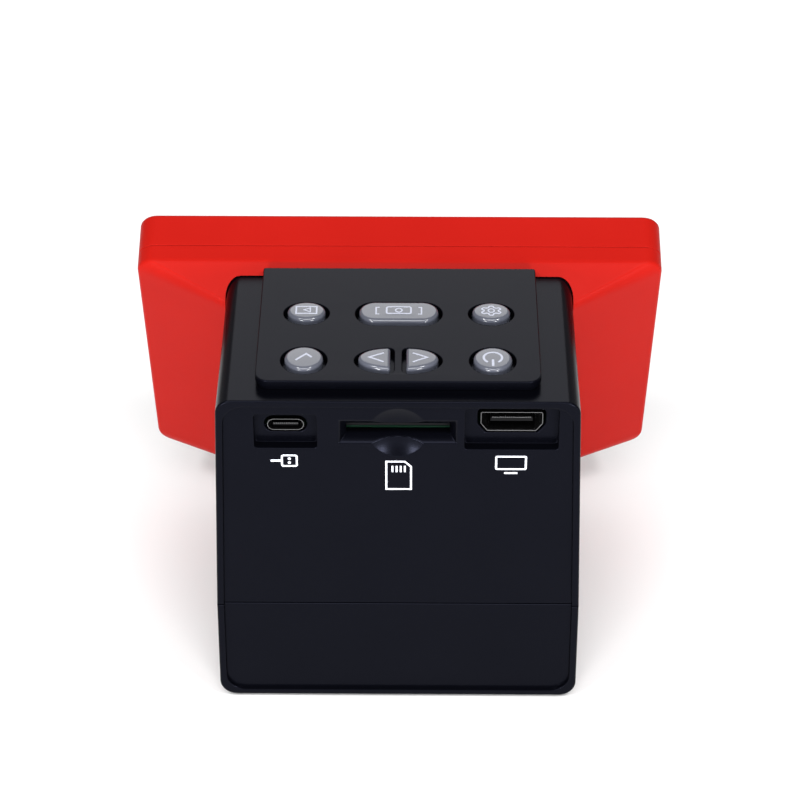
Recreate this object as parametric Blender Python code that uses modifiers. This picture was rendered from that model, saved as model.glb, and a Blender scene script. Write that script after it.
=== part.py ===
"""Desktop film scanner: a black box body with ports, a film slot and a keypad, and a wide red display
that leans back onto the body's far side. Lengths are in metres."""

import math

import bmesh
import bpy
from mathutils import Matrix, Vector

# Body, measured from its back face and its underside
BODY_HEIGHT = 0.0934
BODY_TOP_WIDTH = 0.0873
BODY_SEAM_WIDTH = 0.0910
BODY_BASE_WIDTH = 0.0914
BODY_TOP_RADIUS = 0.0037
BODY_BASE_RADIUS = 0.0043
SEAM_HEIGHT = 0.0300
HOUSING_WALL = 0.0022
TOE_FRONT = 0.0800
TOE_TOP = 0.0183
TOE_CHAMFER = 0.0030
BASE_CAVITY_END = 0.0695

# Sunk panel on the back face
PANEL_DEPTH = 0.0010
PANEL_INSET = 0.0013
PANEL_RAMP = 0.0011
PANEL_RADIUS = 0.0050

# Clearances
SEAT_GAP = 0.0003
SCREW_GAP = 0.00025
OVERRUN = 0.0020

# Feet and housing screws
FOOT_PROUD = 0.0008
FOOT_RADIUS = 0.0050
FOOT_RECESS = 0.0012
FOOT_X = 0.0360
FOOT_REAR_Y = 0.0100
FOOT_FRONT_Y = 0.0700
BOSS_RADIUS = 0.0037
BOSS_X = 0.0375
BOSS_Y = 0.0673
BOSS_TOP = 0.0400
BOSS_SHOULDER = 0.0240
SCREW_RADIUS = 0.00145
SCREW_HEAD_RADIUS = 0.0026
SCREW_HEAD_HEIGHT = 0.0018
SCREW_BORE_RADIUS = 0.0030
SCREW_END = 0.0375

# Display, measured in its own leaning frame from the middle of its rim plane
LEAN_ANGLE = math.radians(19.2)
DISPLAY_CENTRE_Y = 0.0701
DISPLAY_CENTRE_SHARE = 0.621
DISPLAY_CENTRE_Z = BODY_HEIGHT * DISPLAY_CENTRE_SHARE
DISPLAY_WIDTH = 0.1339
DISPLAY_HEIGHT = 0.0814
DISPLAY_RADIUS = 0.0047
DISPLAY_THICKNESS = 0.0149
DISPLAY_WALL = 0.0020
DISPLAY_EDGE = 0.0008
REAR_BAND = 0.0048
FUNNEL_DEPTH = 0.0105
FUNNEL_TOP_INSET = 0.0047
FUNNEL_BOTTOM_INSET = 0.0038
FUNNEL_RADIUS = 0.0022
FUNNEL_EDGE_SHARE = 0.03
PLUG_TOP_SETBACK = 0.0020
PLUG_BOTTOM_SETBACK = 0.0080

# Screen
WINDOW_MARGIN = 0.00345
WINDOW_WIDTH = DISPLAY_WIDTH - 2 * WINDOW_MARGIN
WINDOW_HEIGHT = DISPLAY_HEIGHT - 2 * WINDOW_MARGIN
WINDOW_THICKNESS = 0.0012
WINDOW_RADIUS = 0.0030
VIEW_SIDE_MARGIN = 0.0075
VIEW_END_MARGIN = 0.00525
VIEW_WIDTH = WINDOW_WIDTH - 2 * VIEW_SIDE_MARGIN
VIEW_HEIGHT = WINDOW_HEIGHT - 2 * VIEW_END_MARGIN
VIEW_RADIUS = 0.0012
FRAME_FACE = 0.0017
PANEL_MARGIN = 0.0040
LCD_THICKNESS = 0.0030
BRACKET_THICKNESS = 0.0010
BRACKET_MARGIN = 0.0077
BRACKET_HEIGHT = DISPLAY_HEIGHT - 2 * BRACKET_MARGIN
BRACKET_SLOT_WIDTH = 0.0240
BRACKET_SLOT_HEIGHT = 0.0120

# Keypad
PLATE_WIDTH = 0.0687
PLATE_NEAR_Y = 0.0049
PLATE_FAR_Y = 0.0535
PLATE_NEAR_RADIUS = 0.0033
PLATE_FAR_RADIUS = 0.0006
PLATE_TOP = 0.00297
PLATE_THICKNESS = 0.00160
PLATE_EDGE = 0.0004
FRAME_TOP = 0.0012
KEYPAD_OPENING_MARGIN = 0.00285
KEYPAD_OPENING_HALF = PLATE_WIDTH / 2 - KEYPAD_OPENING_MARGIN
KEYPAD_OPENING_NEAR_Y = 0.0059
KEYPAD_OPENING_FAR_Y = 0.0495
KEY_COLUMN_MARGIN = 0.01155
KEY_COLUMN = PLATE_WIDTH / 2 - KEY_COLUMN_MARGIN
KEY_NEAR_ROW = 0.0122
KEY_FAR_ROW = 0.0330
KEY_RADIUS = 0.0047
FAR_KEY_SHARE = 0.82
CAPTURE_HALF_LENGTH = 0.0098
CAPTURE_HALF_WIDTH = 0.0041
ARROW_CENTRE_X = 0.0058
ARROW_HALF_LENGTH = 0.0039
ARROW_HALF_WIDTH = 0.0044
ARROW_CORNER = 0.0007
KEY_HOLE_GAP = 0.00095
KEY_PROUD = 0.00105
KEY_EDGE = 0.0009
KEY_DOME = 0.00015
KEY_FLANGE_LIP = 0.00035
KEY_FLANGE_THICKNESS = 0.0008
KEY_STEM_HALF = 0.0017
KEY_TRAVEL = 0.0005
SWITCH_HALF = 0.0031
SWITCH_HEIGHT = 0.0014
SWITCH_WELL_HALF = 0.0021
SWITCH_WELL_DEPTH = 0.0010
SWITCH_WELL_REST = 0.00015
KEY_BOARD_LAP = 0.0025
KEY_BOARD_HALF = KEYPAD_OPENING_HALF + KEY_BOARD_LAP
KEY_BOARD_NEAR_Y = 0.0058
KEY_BOARD_FAR_Y = 0.0515
BOARD_THICKNESS = 0.0012

# Main board and its sockets
MAIN_BOARD_DROP = 0.0112
MAIN_BOARD_TOP = BODY_HEIGHT - MAIN_BOARD_DROP
MAIN_BOARD_THICKNESS = 0.0016
MAIN_BOARD_BOTTOM = MAIN_BOARD_TOP - MAIN_BOARD_THICKNESS
SOCKET_Z = MAIN_BOARD_TOP + SEAT_GAP
MAIN_BOARD_HALF = 0.0395
MAIN_BOARD_NEAR_Y = 0.0057
MAIN_BOARD_FAR_Y = 0.0500
RAIL_HEIGHT = 0.0014
RAIL_DEPTH = 0.0050
PORT_WALL = 0.0053
PORT_WALL_HALF = 0.0390
PORT_WALL_DROP = 0.0060
PORT_WALL_LOW = SOCKET_Z - PORT_WALL_DROP
SOCKET_FACE_Y = 0.0034
USB_X = -0.0271
USB_WIDTH = 0.0089
USB_HEIGHT = 0.0033
USB_LENGTH = 0.0075
USB_SKIN = 0.0003
USB_TONGUE = 0.0007
USB_RECESS_WIDTH = 0.0152
USB_RECESS_DROP = 0.0037
USB_RECESS_RISE = 0.0063
USB_RECESS_LOW = SOCKET_Z - USB_RECESS_DROP
USB_RECESS_HIGH = SOCKET_Z + USB_RECESS_RISE
RECESS_RADIUS = 0.0009
RECESS_DEPTH = 0.0030
HDMI_X = 0.0274
HDMI_WIDTH = 0.0150
HDMI_HEIGHT = 0.0056
HDMI_LENGTH = 0.0115
HDMI_SKIN = 0.0004
HDMI_FOOT_WIDTH = 0.0118
HDMI_SHOULDER = 0.0022
HDMI_TONGUE = 0.0012
HDMI_RECESS_WIDTH = 0.0227
HDMI_RECESS_DROP = 0.0039
HDMI_RECESS_RISE = 0.0083
HDMI_RECESS_LOW = SOCKET_Z - HDMI_RECESS_DROP
HDMI_RECESS_HIGH = SOCKET_Z + HDMI_RECESS_RISE
SOCKET_CUT_GAP = 0.0007
SOCKET_PLUG_SHARE = 0.25
TONGUE_INSET_SHARE = 0.125
CARD_WIDTH = 0.0250
CARD_OPENING = 0.0026
CARD_LOW = SOCKET_Z
CARD_HIGH = CARD_LOW + CARD_OPENING
CARD_LEAD_WIDTH = 0.0290
CARD_LEAD_DROP = 0.0023
CARD_LEAD_RISE = 0.0049
CARD_LEAD_LOW = SOCKET_Z - CARD_LEAD_DROP
CARD_LEAD_HIGH = SOCKET_Z + CARD_LEAD_RISE
CARD_LEAD_DEPTH = 0.0026
CARD_SOCKET_LENGTH = 0.0270
CARD_SOCKET_SKIN = 0.0006
DISH_RADIUS = 0.0070
DISH_DEPTH = 0.0016
DISH_RISE = 0.0011
DISH_Z = SOCKET_Z + DISH_RISE

# Film channel
SLOT_NEAR_Y = 0.0048
SLOT_FAR_Y = 0.0617
SLOT_LOW = 0.0330
SLOT_HIGH = 0.0405
GUIDE_HALF = 0.0426
GUIDE_THICKNESS = 0.0024
GUIDE_RAIL = 0.0013
FILM_WINDOW_LENGTH = 0.0380
FILM_WINDOW_WIDTH = 0.0260

# Camera, over the film window
OPTIC_Y = 0.0330
HOOD_FOOT_LENGTH = 0.0440
HOOD_FOOT_WIDTH = 0.0320
HOOD_HEAD = 0.0250
HOOD_WALL = 0.0018
HOOD_NECK_Z = 0.0540
HOOD_LEDGE = 0.0020
HOOD_TOP_DROP = 0.0086
HOOD_TOP = MAIN_BOARD_BOTTOM - HOOD_TOP_DROP
HOOD_RADIUS = 0.0012
BARREL_RADIUS = 0.0070
BARREL_FLANGE_RADIUS = 0.0103
BARREL_FLANGE_THICKNESS = 0.0018
BARREL_LENGTH = 0.0095
BARREL_BORE = 0.0053
BARREL_LIP = 0.0012
LENS_RADIUS = 0.0050
LENS_EDGE = 0.0016
LENS_CROWN = 0.0006
LENS_BEND_SHARE = 0.6
LENS_RISE_SHARE = 0.7
SENSOR_HALF = 0.0060
SENSOR_THICKNESS = 0.0018

# Light, under the film window
LIGHT_BOX_LENGTH = 0.0520
LIGHT_BOX_WIDTH = 0.0460
LIGHT_BOX_WALL = 0.0016
LIGHT_BOX_RADIUS = 0.0020
DIFFUSER_THICKNESS = 0.0016
LAMP_BOARD_Z = 0.0043
LAMP_BOARD_MARGIN = 0.0020
LAMP_HALF = 0.0014
LAMP_HEIGHT = 0.0008
LAMP_PITCH = 0.0110
POST_RADIUS = 0.0025
POST_INSET = 0.0040

# Display flex, in the body's frame
FLEX_HALF_WIDTH = 0.0080
FLEX_THICKNESS = 0.0003
FLEX_FOOT = 0.0040
FLEX_HEIGHT = 0.0040

# Facets
ARC_STEPS = 4
ROUND_STEPS = 24
ROUND_SHARE = 0.98
EDGE_SHARES = (0.5, 1.0)
DOME_SHARES = ((0.72, 0.6), (0.3, 0.95))

# Derived places
DISPLAY_DEPTH_REACH = (
    DISPLAY_CENTRE_Y
    + DISPLAY_THICKNESS * math.cos(LEAN_ANGLE)
    + DISPLAY_HEIGHT / 2 * math.sin(LEAN_ANGLE)
    - DISPLAY_EDGE * (math.cos(LEAN_ANGLE) + math.sin(LEAN_ANGLE) - 1)
)
BACK_Y = -DISPLAY_DEPTH_REACH / 2
BACK_WALL = HOUSING_WALL + PANEL_DEPTH
ROOF = BODY_HEIGHT - HOUSING_WALL
PLATE_UNDER = BODY_HEIGHT + PLATE_TOP - PLATE_THICKNESS
KEY_BOARD_TOP = ROOF - SEAT_GAP
SWITCH_TOP = KEY_BOARD_TOP + SEAT_GAP / 2 + SWITCH_HEIGHT
GUIDE_BOTTOM = SEAM_HEIGHT + SEAT_GAP
UPPER_GUIDE_BOTTOM = SLOT_HIGH
UPPER_GUIDE_TOP = UPPER_GUIDE_BOTTOM + GUIDE_THICKNESS
HOOD_BOTTOM = UPPER_GUIDE_TOP + SEAT_GAP
LAMP_BOARD_TOP = LAMP_BOARD_Z + BOARD_THICKNESS
LIGHT_BOX_BOTTOM = LAMP_BOARD_TOP + SEAT_GAP
WINDOW_SEAT = DISPLAY_THICKNESS - WINDOW_THICKNESS - SEAT_GAP
FRAME_BACK = WINDOW_SEAT - FRAME_FACE
LCD_BACK = FRAME_BACK - SEAT_GAP - LCD_THICKNESS


def clear_scene():
    for item in list(bpy.data.objects):
        bpy.data.objects.remove(item, do_unlink=True)


def new_collection(name):
    group = bpy.data.collections.new(name)
    bpy.context.scene.collection.children.link(group)
    return group


clear_scene()
PARTS = new_collection("film_scanner")
CUTTERS = new_collection("cutters")


def new_frame(name, location, lean):
    frame = bpy.data.objects.new(name, None)
    frame.location = location
    frame.rotation_euler = (lean, 0, 0)
    CUTTERS.objects.link(frame)
    return frame


BODY = new_frame("body_frame", (0, BACK_Y, FOOT_PROUD), 0)
DISPLAY = new_frame(
    "display_frame", (0, BACK_Y + DISPLAY_CENTRE_Y, FOOT_PROUD + DISPLAY_CENTRE_Z), LEAN_ANGLE)


def finish(name, colour, roughness, metallic=0.0):
    material = bpy.data.materials.new(name)
    material.use_nodes = True
    shader = material.node_tree.nodes["Principled BSDF"]
    shader.inputs["Base Color"].default_value = (*colour, 1.0)
    shader.inputs["Roughness"].default_value = roughness
    shader.inputs["Metallic"].default_value = metallic
    return material


def add_mesh(name, bm, parent, material=None):
    """Makes an object of a bmesh. Without a material it is a cutter, or a piece to be joined to another."""
    bmesh.ops.recalc_face_normals(bm, faces=bm.faces)
    mesh = bpy.data.meshes.new(name)
    bm.to_mesh(mesh)
    bm.free()
    return add_object(name, mesh, parent, material)


def add_object(name, mesh, parent, material=None):
    obj = bpy.data.objects.new(name, mesh)
    obj.parent = parent
    if material:
        obj.data.materials.append(material)
        PARTS.objects.link(obj)
    else:
        obj.hide_render = True
        obj.display_type = "WIRE"
        CUTTERS.objects.link(obj)
    return obj


def block(name, parent, low, high, material=None):
    """A box from its lowest to its highest corner."""
    low = Vector(low)
    high = Vector(high)
    bm = bmesh.new()
    bmesh.ops.create_cube(bm, size=1)
    place = Matrix.Translation((low + high) / 2) @ Matrix.Diagonal((*(high - low), 1))
    bmesh.ops.transform(bm, matrix=place, verts=bm.verts)
    return add_mesh(name, bm, parent, material)


def cylinder(name, parent, centre, radius, low, high, material=None):
    """An upright cylinder at (x, y), from z low to high."""
    bm = bmesh.new()
    bmesh.ops.create_cone(bm, cap_ends=True, segments=ROUND_STEPS, radius1=radius, radius2=radius,
                          depth=high - low)
    bmesh.ops.translate(bm, verts=bm.verts, vec=(*centre, (low + high) / 2))
    return add_mesh(name, bm, parent, material)


def turned(name, parent, location, profile, material):
    """A profile of (radius, z) points, turned about the upright axis through location. The profile runs
    from the top of the axis down the outer side."""
    mesh = bpy.data.meshes.new(name)
    points = [(radius, 0, z) for radius, z in profile]
    mesh.from_pydata(points, [(i, i + 1) for i in range(len(points) - 1)], [])
    obj = add_object(name, mesh, parent, material)
    obj.location = location
    screw = obj.modifiers.new("turn", "SCREW")
    screw.axis = "Z"
    screw.steps = ROUND_STEPS
    screw.render_steps = ROUND_STEPS
    screw.use_merge_vertices = True
    screw.merge_threshold = 0.00001
    screw.use_smooth_shade = True
    return obj


def rounded_outline(corners, radii):
    """The corner points joined by straight runs, with an arc of the given radius at each corner."""
    points = []
    count = len(corners)
    for i, radius in enumerate(radii):
        here = Vector(corners[i])
        before = (Vector(corners[i - 1]) - here).normalized()
        after = (Vector(corners[(i + 1) % count]) - here).normalized()
        if radius == 0:
            points.append(here)
            continue
        half = before.angle(after) / 2
        centre = here + (before + after).normalized() * (radius / math.sin(half))
        start = here + before * (radius / math.tan(half)) - centre
        sweep = math.pi - 2 * half
        turn = 1 if before.x * after.y - before.y * after.x < 0 else -1
        for step in range(ARC_STEPS + 1):
            angle = turn * sweep * step / ARC_STEPS
            points.append(centre + Matrix.Rotation(angle, 2) @ start)
    return points


def prism(name, parent, outline, low, high, axis="Z", material=None):
    """A filled outline, extruded from low to high along an axis. Outlines are (x, y) for Z, (x, z) for Y
    and (y, z) for X."""
    curve = bpy.data.curves.new(name, "CURVE")
    curve.dimensions = "2D"
    curve.fill_mode = "BOTH"
    curve.extrude = (high - low) / 2
    spline = curve.splines.new("POLY")
    spline.points.add(len(outline) - 1)
    for point, place in zip(spline.points, outline):
        point.co = (place[0], place[1], 0, 1)
    spline.use_cyclic_u = True
    source = bpy.data.objects.new(name + "_curve", curve)
    bpy.context.scene.collection.objects.link(source)
    evaluated = source.evaluated_get(bpy.context.evaluated_depsgraph_get())
    bm = bmesh.new()
    bm.from_mesh(bpy.data.meshes.new_from_object(evaluated))
    bpy.data.objects.remove(source, do_unlink=True)
    bmesh.ops.remove_doubles(bm, verts=bm.verts, dist=0.000001)
    turns = {
        "Z": Matrix.Identity(4),
        "Y": Matrix.Rotation(math.pi / 2, 4, "X"),
        "X": Matrix(((0, 0, 1, 0), (1, 0, 0, 0), (0, 1, 0, 0), (0, 0, 0, 1))),
    }
    shift = {"Z": (0, 0, 1), "Y": (0, 1, 0), "X": (1, 0, 0)}
    middle = Vector(shift[axis]) * ((low + high) / 2)
    bmesh.ops.transform(bm, matrix=Matrix.Translation(middle) @ turns[axis], verts=bm.verts)
    return add_mesh(name, bm, parent, material)


def loft(name, parent, rings, material=None, tube=False):
    """Skins a list of rings with equally many points. A tube joins its last ring to its first, and any
    other loft has a flat cap on each end."""
    bm = bmesh.new()
    rows = [[bm.verts.new(point) for point in ring] for ring in rings]
    pairs = list(zip(rows, rows[1:]))
    if tube:
        pairs.append((rows[-1], rows[0]))
    else:
        bm.faces.new(rows[0])
        bm.faces.new(rows[-1])
    for one, two in pairs:
        for i in range(len(one)):
            j = (i + 1) % len(one)
            bm.faces.new((one[i], one[j], two[j], two[i]))
    return add_mesh(name, bm, parent, material)


def boolean(obj, operation, others):
    for other in others:
        modifier = obj.modifiers.new(operation.lower(), "BOOLEAN")
        modifier.operation = operation
        modifier.object = other
    return obj


def cut(obj, *others):
    return boolean(obj, "DIFFERENCE", others)


def join(obj, *others):
    return boolean(obj, "UNION", others)


def shade(obj):
    obj.data.shade_smooth()
    obj.data.set_sharp_from_angle(angle=math.radians(35))
    return obj


def level_ring(outline, z):
    return [(point[0], point[1], z) for point in outline]


def upright_ring(outline, y):
    return [(point[0], y, point[1]) for point in outline]


def blend_rings(one, two, share):
    return [Vector(a).lerp(Vector(b), share) for a, b in zip(one, two)]


def rectangle(half_length, half_width, radius):
    corners = [(-half_length, -half_width), (half_length, -half_width),
               (half_length, half_width), (-half_length, half_width)]
    return rounded_outline(corners, [radius] * 4)


def shifted(outline, x, y):
    return [(point[0] + x, point[1] + y) for point in outline]


def half_width(z):
    """The body's half width: nearly upright below the seam, and tapering in above it."""
    if z < SEAM_HEIGHT:
        return (BODY_BASE_WIDTH + (BODY_SEAM_WIDTH - BODY_BASE_WIDTH) * z / SEAM_HEIGHT) / 2
    share = (z - SEAM_HEIGHT) / (BODY_HEIGHT - SEAM_HEIGHT)
    return (BODY_SEAM_WIDTH + (BODY_TOP_WIDTH - BODY_SEAM_WIDTH) * share) / 2


def body_outline(inset):
    """The whole body seen from behind, as (x, z), drawn in by inset."""
    low = inset
    high = BODY_HEIGHT - inset
    foot = half_width(0) - inset
    waist = half_width(SEAM_HEIGHT) - inset
    head = half_width(BODY_HEIGHT) - inset
    corners = [(-foot, low), (foot, low), (waist, SEAM_HEIGHT), (head, high), (-head, high),
               (-waist, SEAM_HEIGHT)]
    return rounded_outline(corners, [BODY_BASE_RADIUS, BODY_BASE_RADIUS, 0, BODY_TOP_RADIUS - inset,
                                     BODY_TOP_RADIUS - inset, 0])


def display_point(y, z):
    """A point of the display's frame, as (y, z) in the body's frame."""
    return (DISPLAY_CENTRE_Y + y * math.cos(LEAN_ANGLE) - z * math.sin(LEAN_ANGLE),
            DISPLAY_CENTRE_Z + y * math.sin(LEAN_ANGLE) + z * math.cos(LEAN_ANGLE))


def front_cutter(name, gap):
    """Everything in front of the body: it ends on a slant inside the display, above a toe that reaches
    forward under it."""
    slant_top = Vector(display_point(-PLUG_TOP_SETBACK + gap, DISPLAY_HEIGHT / 2))
    slant_foot = Vector(display_point(-PLUG_BOTTOM_SETBACK + gap, -DISPLAY_HEIGHT / 2 + FUNNEL_BOTTOM_INSET))
    run = slant_foot - slant_top
    above = slant_top - run * (OVERRUN / FUNNEL_DEPTH)
    knee = slant_foot + run * ((TOE_TOP - slant_foot.y) / run.y)
    beyond = TOE_FRONT + DISPLAY_HEIGHT
    outline = [above, knee, (TOE_FRONT - TOE_CHAMFER, TOE_TOP), (TOE_FRONT, TOE_TOP - TOE_CHAMFER),
               (TOE_FRONT, -OVERRUN), (beyond, -OVERRUN), (beyond, above.y)]
    return prism(name, BODY, outline, -DISPLAY_WIDTH, DISPLAY_WIDTH, "X")


def back_panel_cutter():
    """The sunk panel on the back face: a shallow pan with sloping sides and round corners."""
    rings = []
    for y, inset in ((-PANEL_DEPTH, PANEL_INSET - PANEL_RAMP), (PANEL_DEPTH, PANEL_INSET + PANEL_RAMP)):
        low = inset
        high = BODY_HEIGHT - inset
        foot = half_width(0) - inset
        head = half_width(BODY_HEIGHT) - inset
        corners = [(-foot, low), (foot, low), (head, high), (-head, high)]
        rings.append(upright_ring(rounded_outline(corners, [PANEL_RADIUS] * 4), y))
    return loft("back_panel_cutter", BODY, rings)


def port_recess(name, x, width, low, high):
    outline = shifted(rectangle(width / 2, (high - low) / 2, RECESS_RADIUS), x, (low + high) / 2)
    return prism(name, BODY, outline, -OVERRUN, PANEL_DEPTH + RECESS_DEPTH - SEAT_GAP, "Y")


def usb_outline(gap):
    half = USB_HEIGHT / 2 + gap
    return shifted(rectangle(USB_WIDTH / 2 + gap, half, half * ROUND_SHARE), USB_X, SOCKET_Z + USB_HEIGHT / 2)


def hdmi_outline(gap):
    """A wide socket whose lower corners are cut in to a narrower foot."""
    low = SOCKET_Z - gap
    high = SOCKET_Z + HDMI_HEIGHT + gap
    wide = HDMI_WIDTH / 2 + gap
    foot = HDMI_FOOT_WIDTH / 2 + gap
    shoulder = SOCKET_Z + HDMI_SHOULDER
    corners = [(-foot, low), (foot, low), (wide, shoulder), (wide, high), (-wide, high), (-wide, shoulder)]
    return shifted(corners, HDMI_X, 0)


def card_lead_cutter():
    """The lead-in of the card slot: its floor ramps up and its ends flare towards the back face."""
    middle_face = (CARD_LEAD_LOW + CARD_LEAD_HIGH) / 2
    middle_slot = (CARD_LOW + CARD_HIGH) / 2
    face = rectangle(CARD_LEAD_WIDTH / 2, (CARD_LEAD_HIGH - CARD_LEAD_LOW) / 2, RECESS_RADIUS)
    slot = rectangle(CARD_WIDTH / 2, (CARD_HIGH - CARD_LOW) / 2, RECESS_RADIUS / 2)
    rings = [
        upright_ring(shifted(face, 0, middle_face), -OVERRUN),
        upright_ring(shifted(face, 0, middle_face), PANEL_DEPTH),
        upright_ring(shifted(slot, 0, middle_slot), PANEL_DEPTH + CARD_LEAD_DEPTH),
        upright_ring(shifted(slot, 0, middle_slot), PORT_WALL + OVERRUN),
    ]
    return loft("card_lead_cutter", BODY, rings)


def dish_cutter():
    """The finger dish over the card slot is a shallow cap of a ball."""
    ball = (DISH_RADIUS ** 2 + DISH_DEPTH ** 2) / (2 * DISH_DEPTH)
    bm = bmesh.new()
    bmesh.ops.create_uvsphere(bm, u_segments=ROUND_STEPS * 3, v_segments=ROUND_STEPS * 2, radius=ball)
    centre = (0, PANEL_DEPTH + DISH_DEPTH - ball, DISH_Z)
    bmesh.ops.translate(bm, verts=bm.verts, vec=centre)
    return add_mesh("dish_cutter", bm, BODY)


def key_rows():
    """Each key's name, its middle, its half sizes and its outline around that middle."""
    round_key = rectangle(KEY_RADIUS, KEY_RADIUS, KEY_RADIUS * ROUND_SHARE)
    oval_key = [(point[0], point[1] * FAR_KEY_SHARE) for point in round_key]
    capture = rectangle(CAPTURE_HALF_LENGTH, CAPTURE_HALF_WIDTH, CAPTURE_HALF_WIDTH * ROUND_SHARE)
    arrow = arrow_outline()
    mirrored = [(-x, y) for x, y in reversed(arrow)]
    size = (KEY_RADIUS, KEY_RADIUS)
    oval_size = (KEY_RADIUS, KEY_RADIUS * FAR_KEY_SHARE)
    arrow_size = (ARROW_HALF_LENGTH, ARROW_HALF_WIDTH)
    return [
        ("confirm_key", (-KEY_COLUMN, KEY_NEAR_ROW), size, round_key),
        ("left_key", (-ARROW_CENTRE_X, KEY_NEAR_ROW), arrow_size, arrow),
        ("right_key", (ARROW_CENTRE_X, KEY_NEAR_ROW), arrow_size, mirrored),
        ("power_key", (KEY_COLUMN, KEY_NEAR_ROW), size, round_key),
        ("playback_key", (-KEY_COLUMN, KEY_FAR_ROW), oval_size, oval_key),
        ("capture_key", (0, KEY_FAR_ROW), (CAPTURE_HALF_LENGTH, CAPTURE_HALF_WIDTH), capture),
        ("settings_key", (KEY_COLUMN, KEY_FAR_ROW), oval_size, oval_key),
    ]


def arrow_outline():
    """Half an ellipse that points to -X, with its straight side towards the middle of the keypad."""
    count = ROUND_STEPS // 2
    corners = []
    radii = []
    for i in range(count + 1):
        angle = -math.pi / 2 + math.pi * i / count
        corners.append((ARROW_HALF_LENGTH * (1 - 2 * math.cos(angle)), ARROW_HALF_WIDTH * math.sin(angle)))
        radii.append(ARROW_CORNER if i in (0, count) else 0)
    corners.reverse()
    return [tuple(point) for point in rounded_outline(corners, radii)]


def grown(outline, size, amount):
    """The outline of a key made larger by amount on every side."""
    across = (size[0] + amount) / size[0]
    along = (size[1] + amount) / size[1]
    return [(point[0] * across, point[1] * along) for point in outline]


def key_hole(name, centre, size, outline):
    shape = shifted(grown(outline, size, KEY_HOLE_GAP), *centre)
    return prism(name, BODY, shape, BODY_HEIGHT - OVERRUN, BODY_HEIGHT + PLATE_TOP + OVERRUN)


def plate_outline(inset):
    half = PLATE_WIDTH / 2 - inset
    near = PLATE_NEAR_Y + inset
    far = PLATE_FAR_Y - inset
    corners = [(-half, near), (half, near), (half, far), (-half, far)]
    return rounded_outline(corners, [PLATE_NEAR_RADIUS] * 2 + [PLATE_FAR_RADIUS] * 2)


def keypad_opening_cutter(name):
    return block(name, BODY, (-KEYPAD_OPENING_HALF, KEYPAD_OPENING_NEAR_Y, ROOF - OVERRUN),
                 (KEYPAD_OPENING_HALF, KEYPAD_OPENING_FAR_Y, PLATE_UNDER + OVERRUN))


def make_upper_housing(plastic, panel):
    """The black shell: open below, open to the display, with a roof under the keypad."""
    top = [point for point in body_outline(0) if point[1] > SEAM_HEIGHT]
    seam = SEAM_HEIGHT + SEAT_GAP / 2
    edge = half_width(seam)
    outline = [(-edge, seam), (edge, seam), *top]
    shell = prism("upper_housing", BODY, outline, 0, TOE_FRONT, "Y", plastic)
    inner_top = [point for point in body_outline(HOUSING_WALL) if point[1] > SEAM_HEIGHT + HOUSING_WALL]
    inner_edge = half_width(SEAM_HEIGHT) - HOUSING_WALL
    inner = [(-inner_edge, SEAM_HEIGHT - OVERRUN), (inner_edge, SEAM_HEIGHT - OVERRUN), *inner_top]
    hollow = prism("upper_hollow", BODY, inner, BACK_WALL, TOE_FRONT + OVERRUN, "Y")
    cut(shell, hollow, front_cutter("upper_front_cutter", 0), panel)
    port_wall = block("port_wall", BODY, (-PORT_WALL_HALF, HOUSING_WALL, PORT_WALL_LOW),
                      (PORT_WALL_HALF, PORT_WALL, ROOF + HOUSING_WALL / 2))
    join(shell, port_wall)
    for side in (-1, 1):
        join(shell, board_rail(side), screw_boss(side))
        cut(shell, screw_pilot(side))
    cut(shell, port_recess("usb_recess", USB_X, USB_RECESS_WIDTH, USB_RECESS_LOW, USB_RECESS_HIGH))
    cut(shell, port_recess("hdmi_recess", HDMI_X, HDMI_RECESS_WIDTH, HDMI_RECESS_LOW, HDMI_RECESS_HIGH))
    cut(shell, prism("usb_hole", BODY, usb_outline(SOCKET_CUT_GAP), -OVERRUN, PORT_WALL + OVERRUN, "Y"))
    cut(shell, prism("hdmi_hole", BODY, hdmi_outline(SOCKET_CUT_GAP), -OVERRUN, PORT_WALL + OVERRUN, "Y"))
    cut(shell, dish_cutter(), card_lead_cutter())
    cut(shell, keypad_opening_cutter("housing_keypad_opening"))
    slot = block("film_slot", BODY, (-DISPLAY_WIDTH, SLOT_NEAR_Y, SLOT_LOW),
                 (DISPLAY_WIDTH, SLOT_FAR_Y, SLOT_HIGH))
    return cut(shell, slot)


def board_rail(side):
    """A ledge on the side wall that the main board rests on."""
    outer = half_width(MAIN_BOARD_BOTTOM) - HOUSING_WALL / 2
    low = MAIN_BOARD_BOTTOM - SEAT_GAP - RAIL_HEIGHT
    inner = outer - RAIL_DEPTH
    xs = sorted((side * inner, side * outer))
    return block("board_rail", BODY, (xs[0], MAIN_BOARD_NEAR_Y, low),
                 (xs[1], MAIN_BOARD_FAR_Y, low + RAIL_HEIGHT))


def screw_boss(side):
    """The upper housing's boss for a housing screw, with a web that carries it on the side wall."""
    low = SEAM_HEIGHT + SEAT_GAP / 2
    boss = cylinder("upper_boss", BODY, (side * BOSS_X, BOSS_Y), BOSS_RADIUS, low, BOSS_TOP)
    wall = half_width(BOSS_TOP) - HOUSING_WALL / 2
    xs = sorted((side * BOSS_X, side * wall))
    web = block("upper_boss_web", BODY, (xs[0], BOSS_Y - BOSS_RADIUS / 2, low),
                (xs[1], BOSS_Y + SCREW_RADIUS, BOSS_TOP))
    return join(boss, web)


def screw_pilot(side):
    return cylinder("screw_pilot", BODY, (side * BOSS_X, BOSS_Y), SCREW_RADIUS + SCREW_GAP,
                    SEAM_HEIGHT - OVERRUN, SCREW_END + SEAT_GAP)


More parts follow.
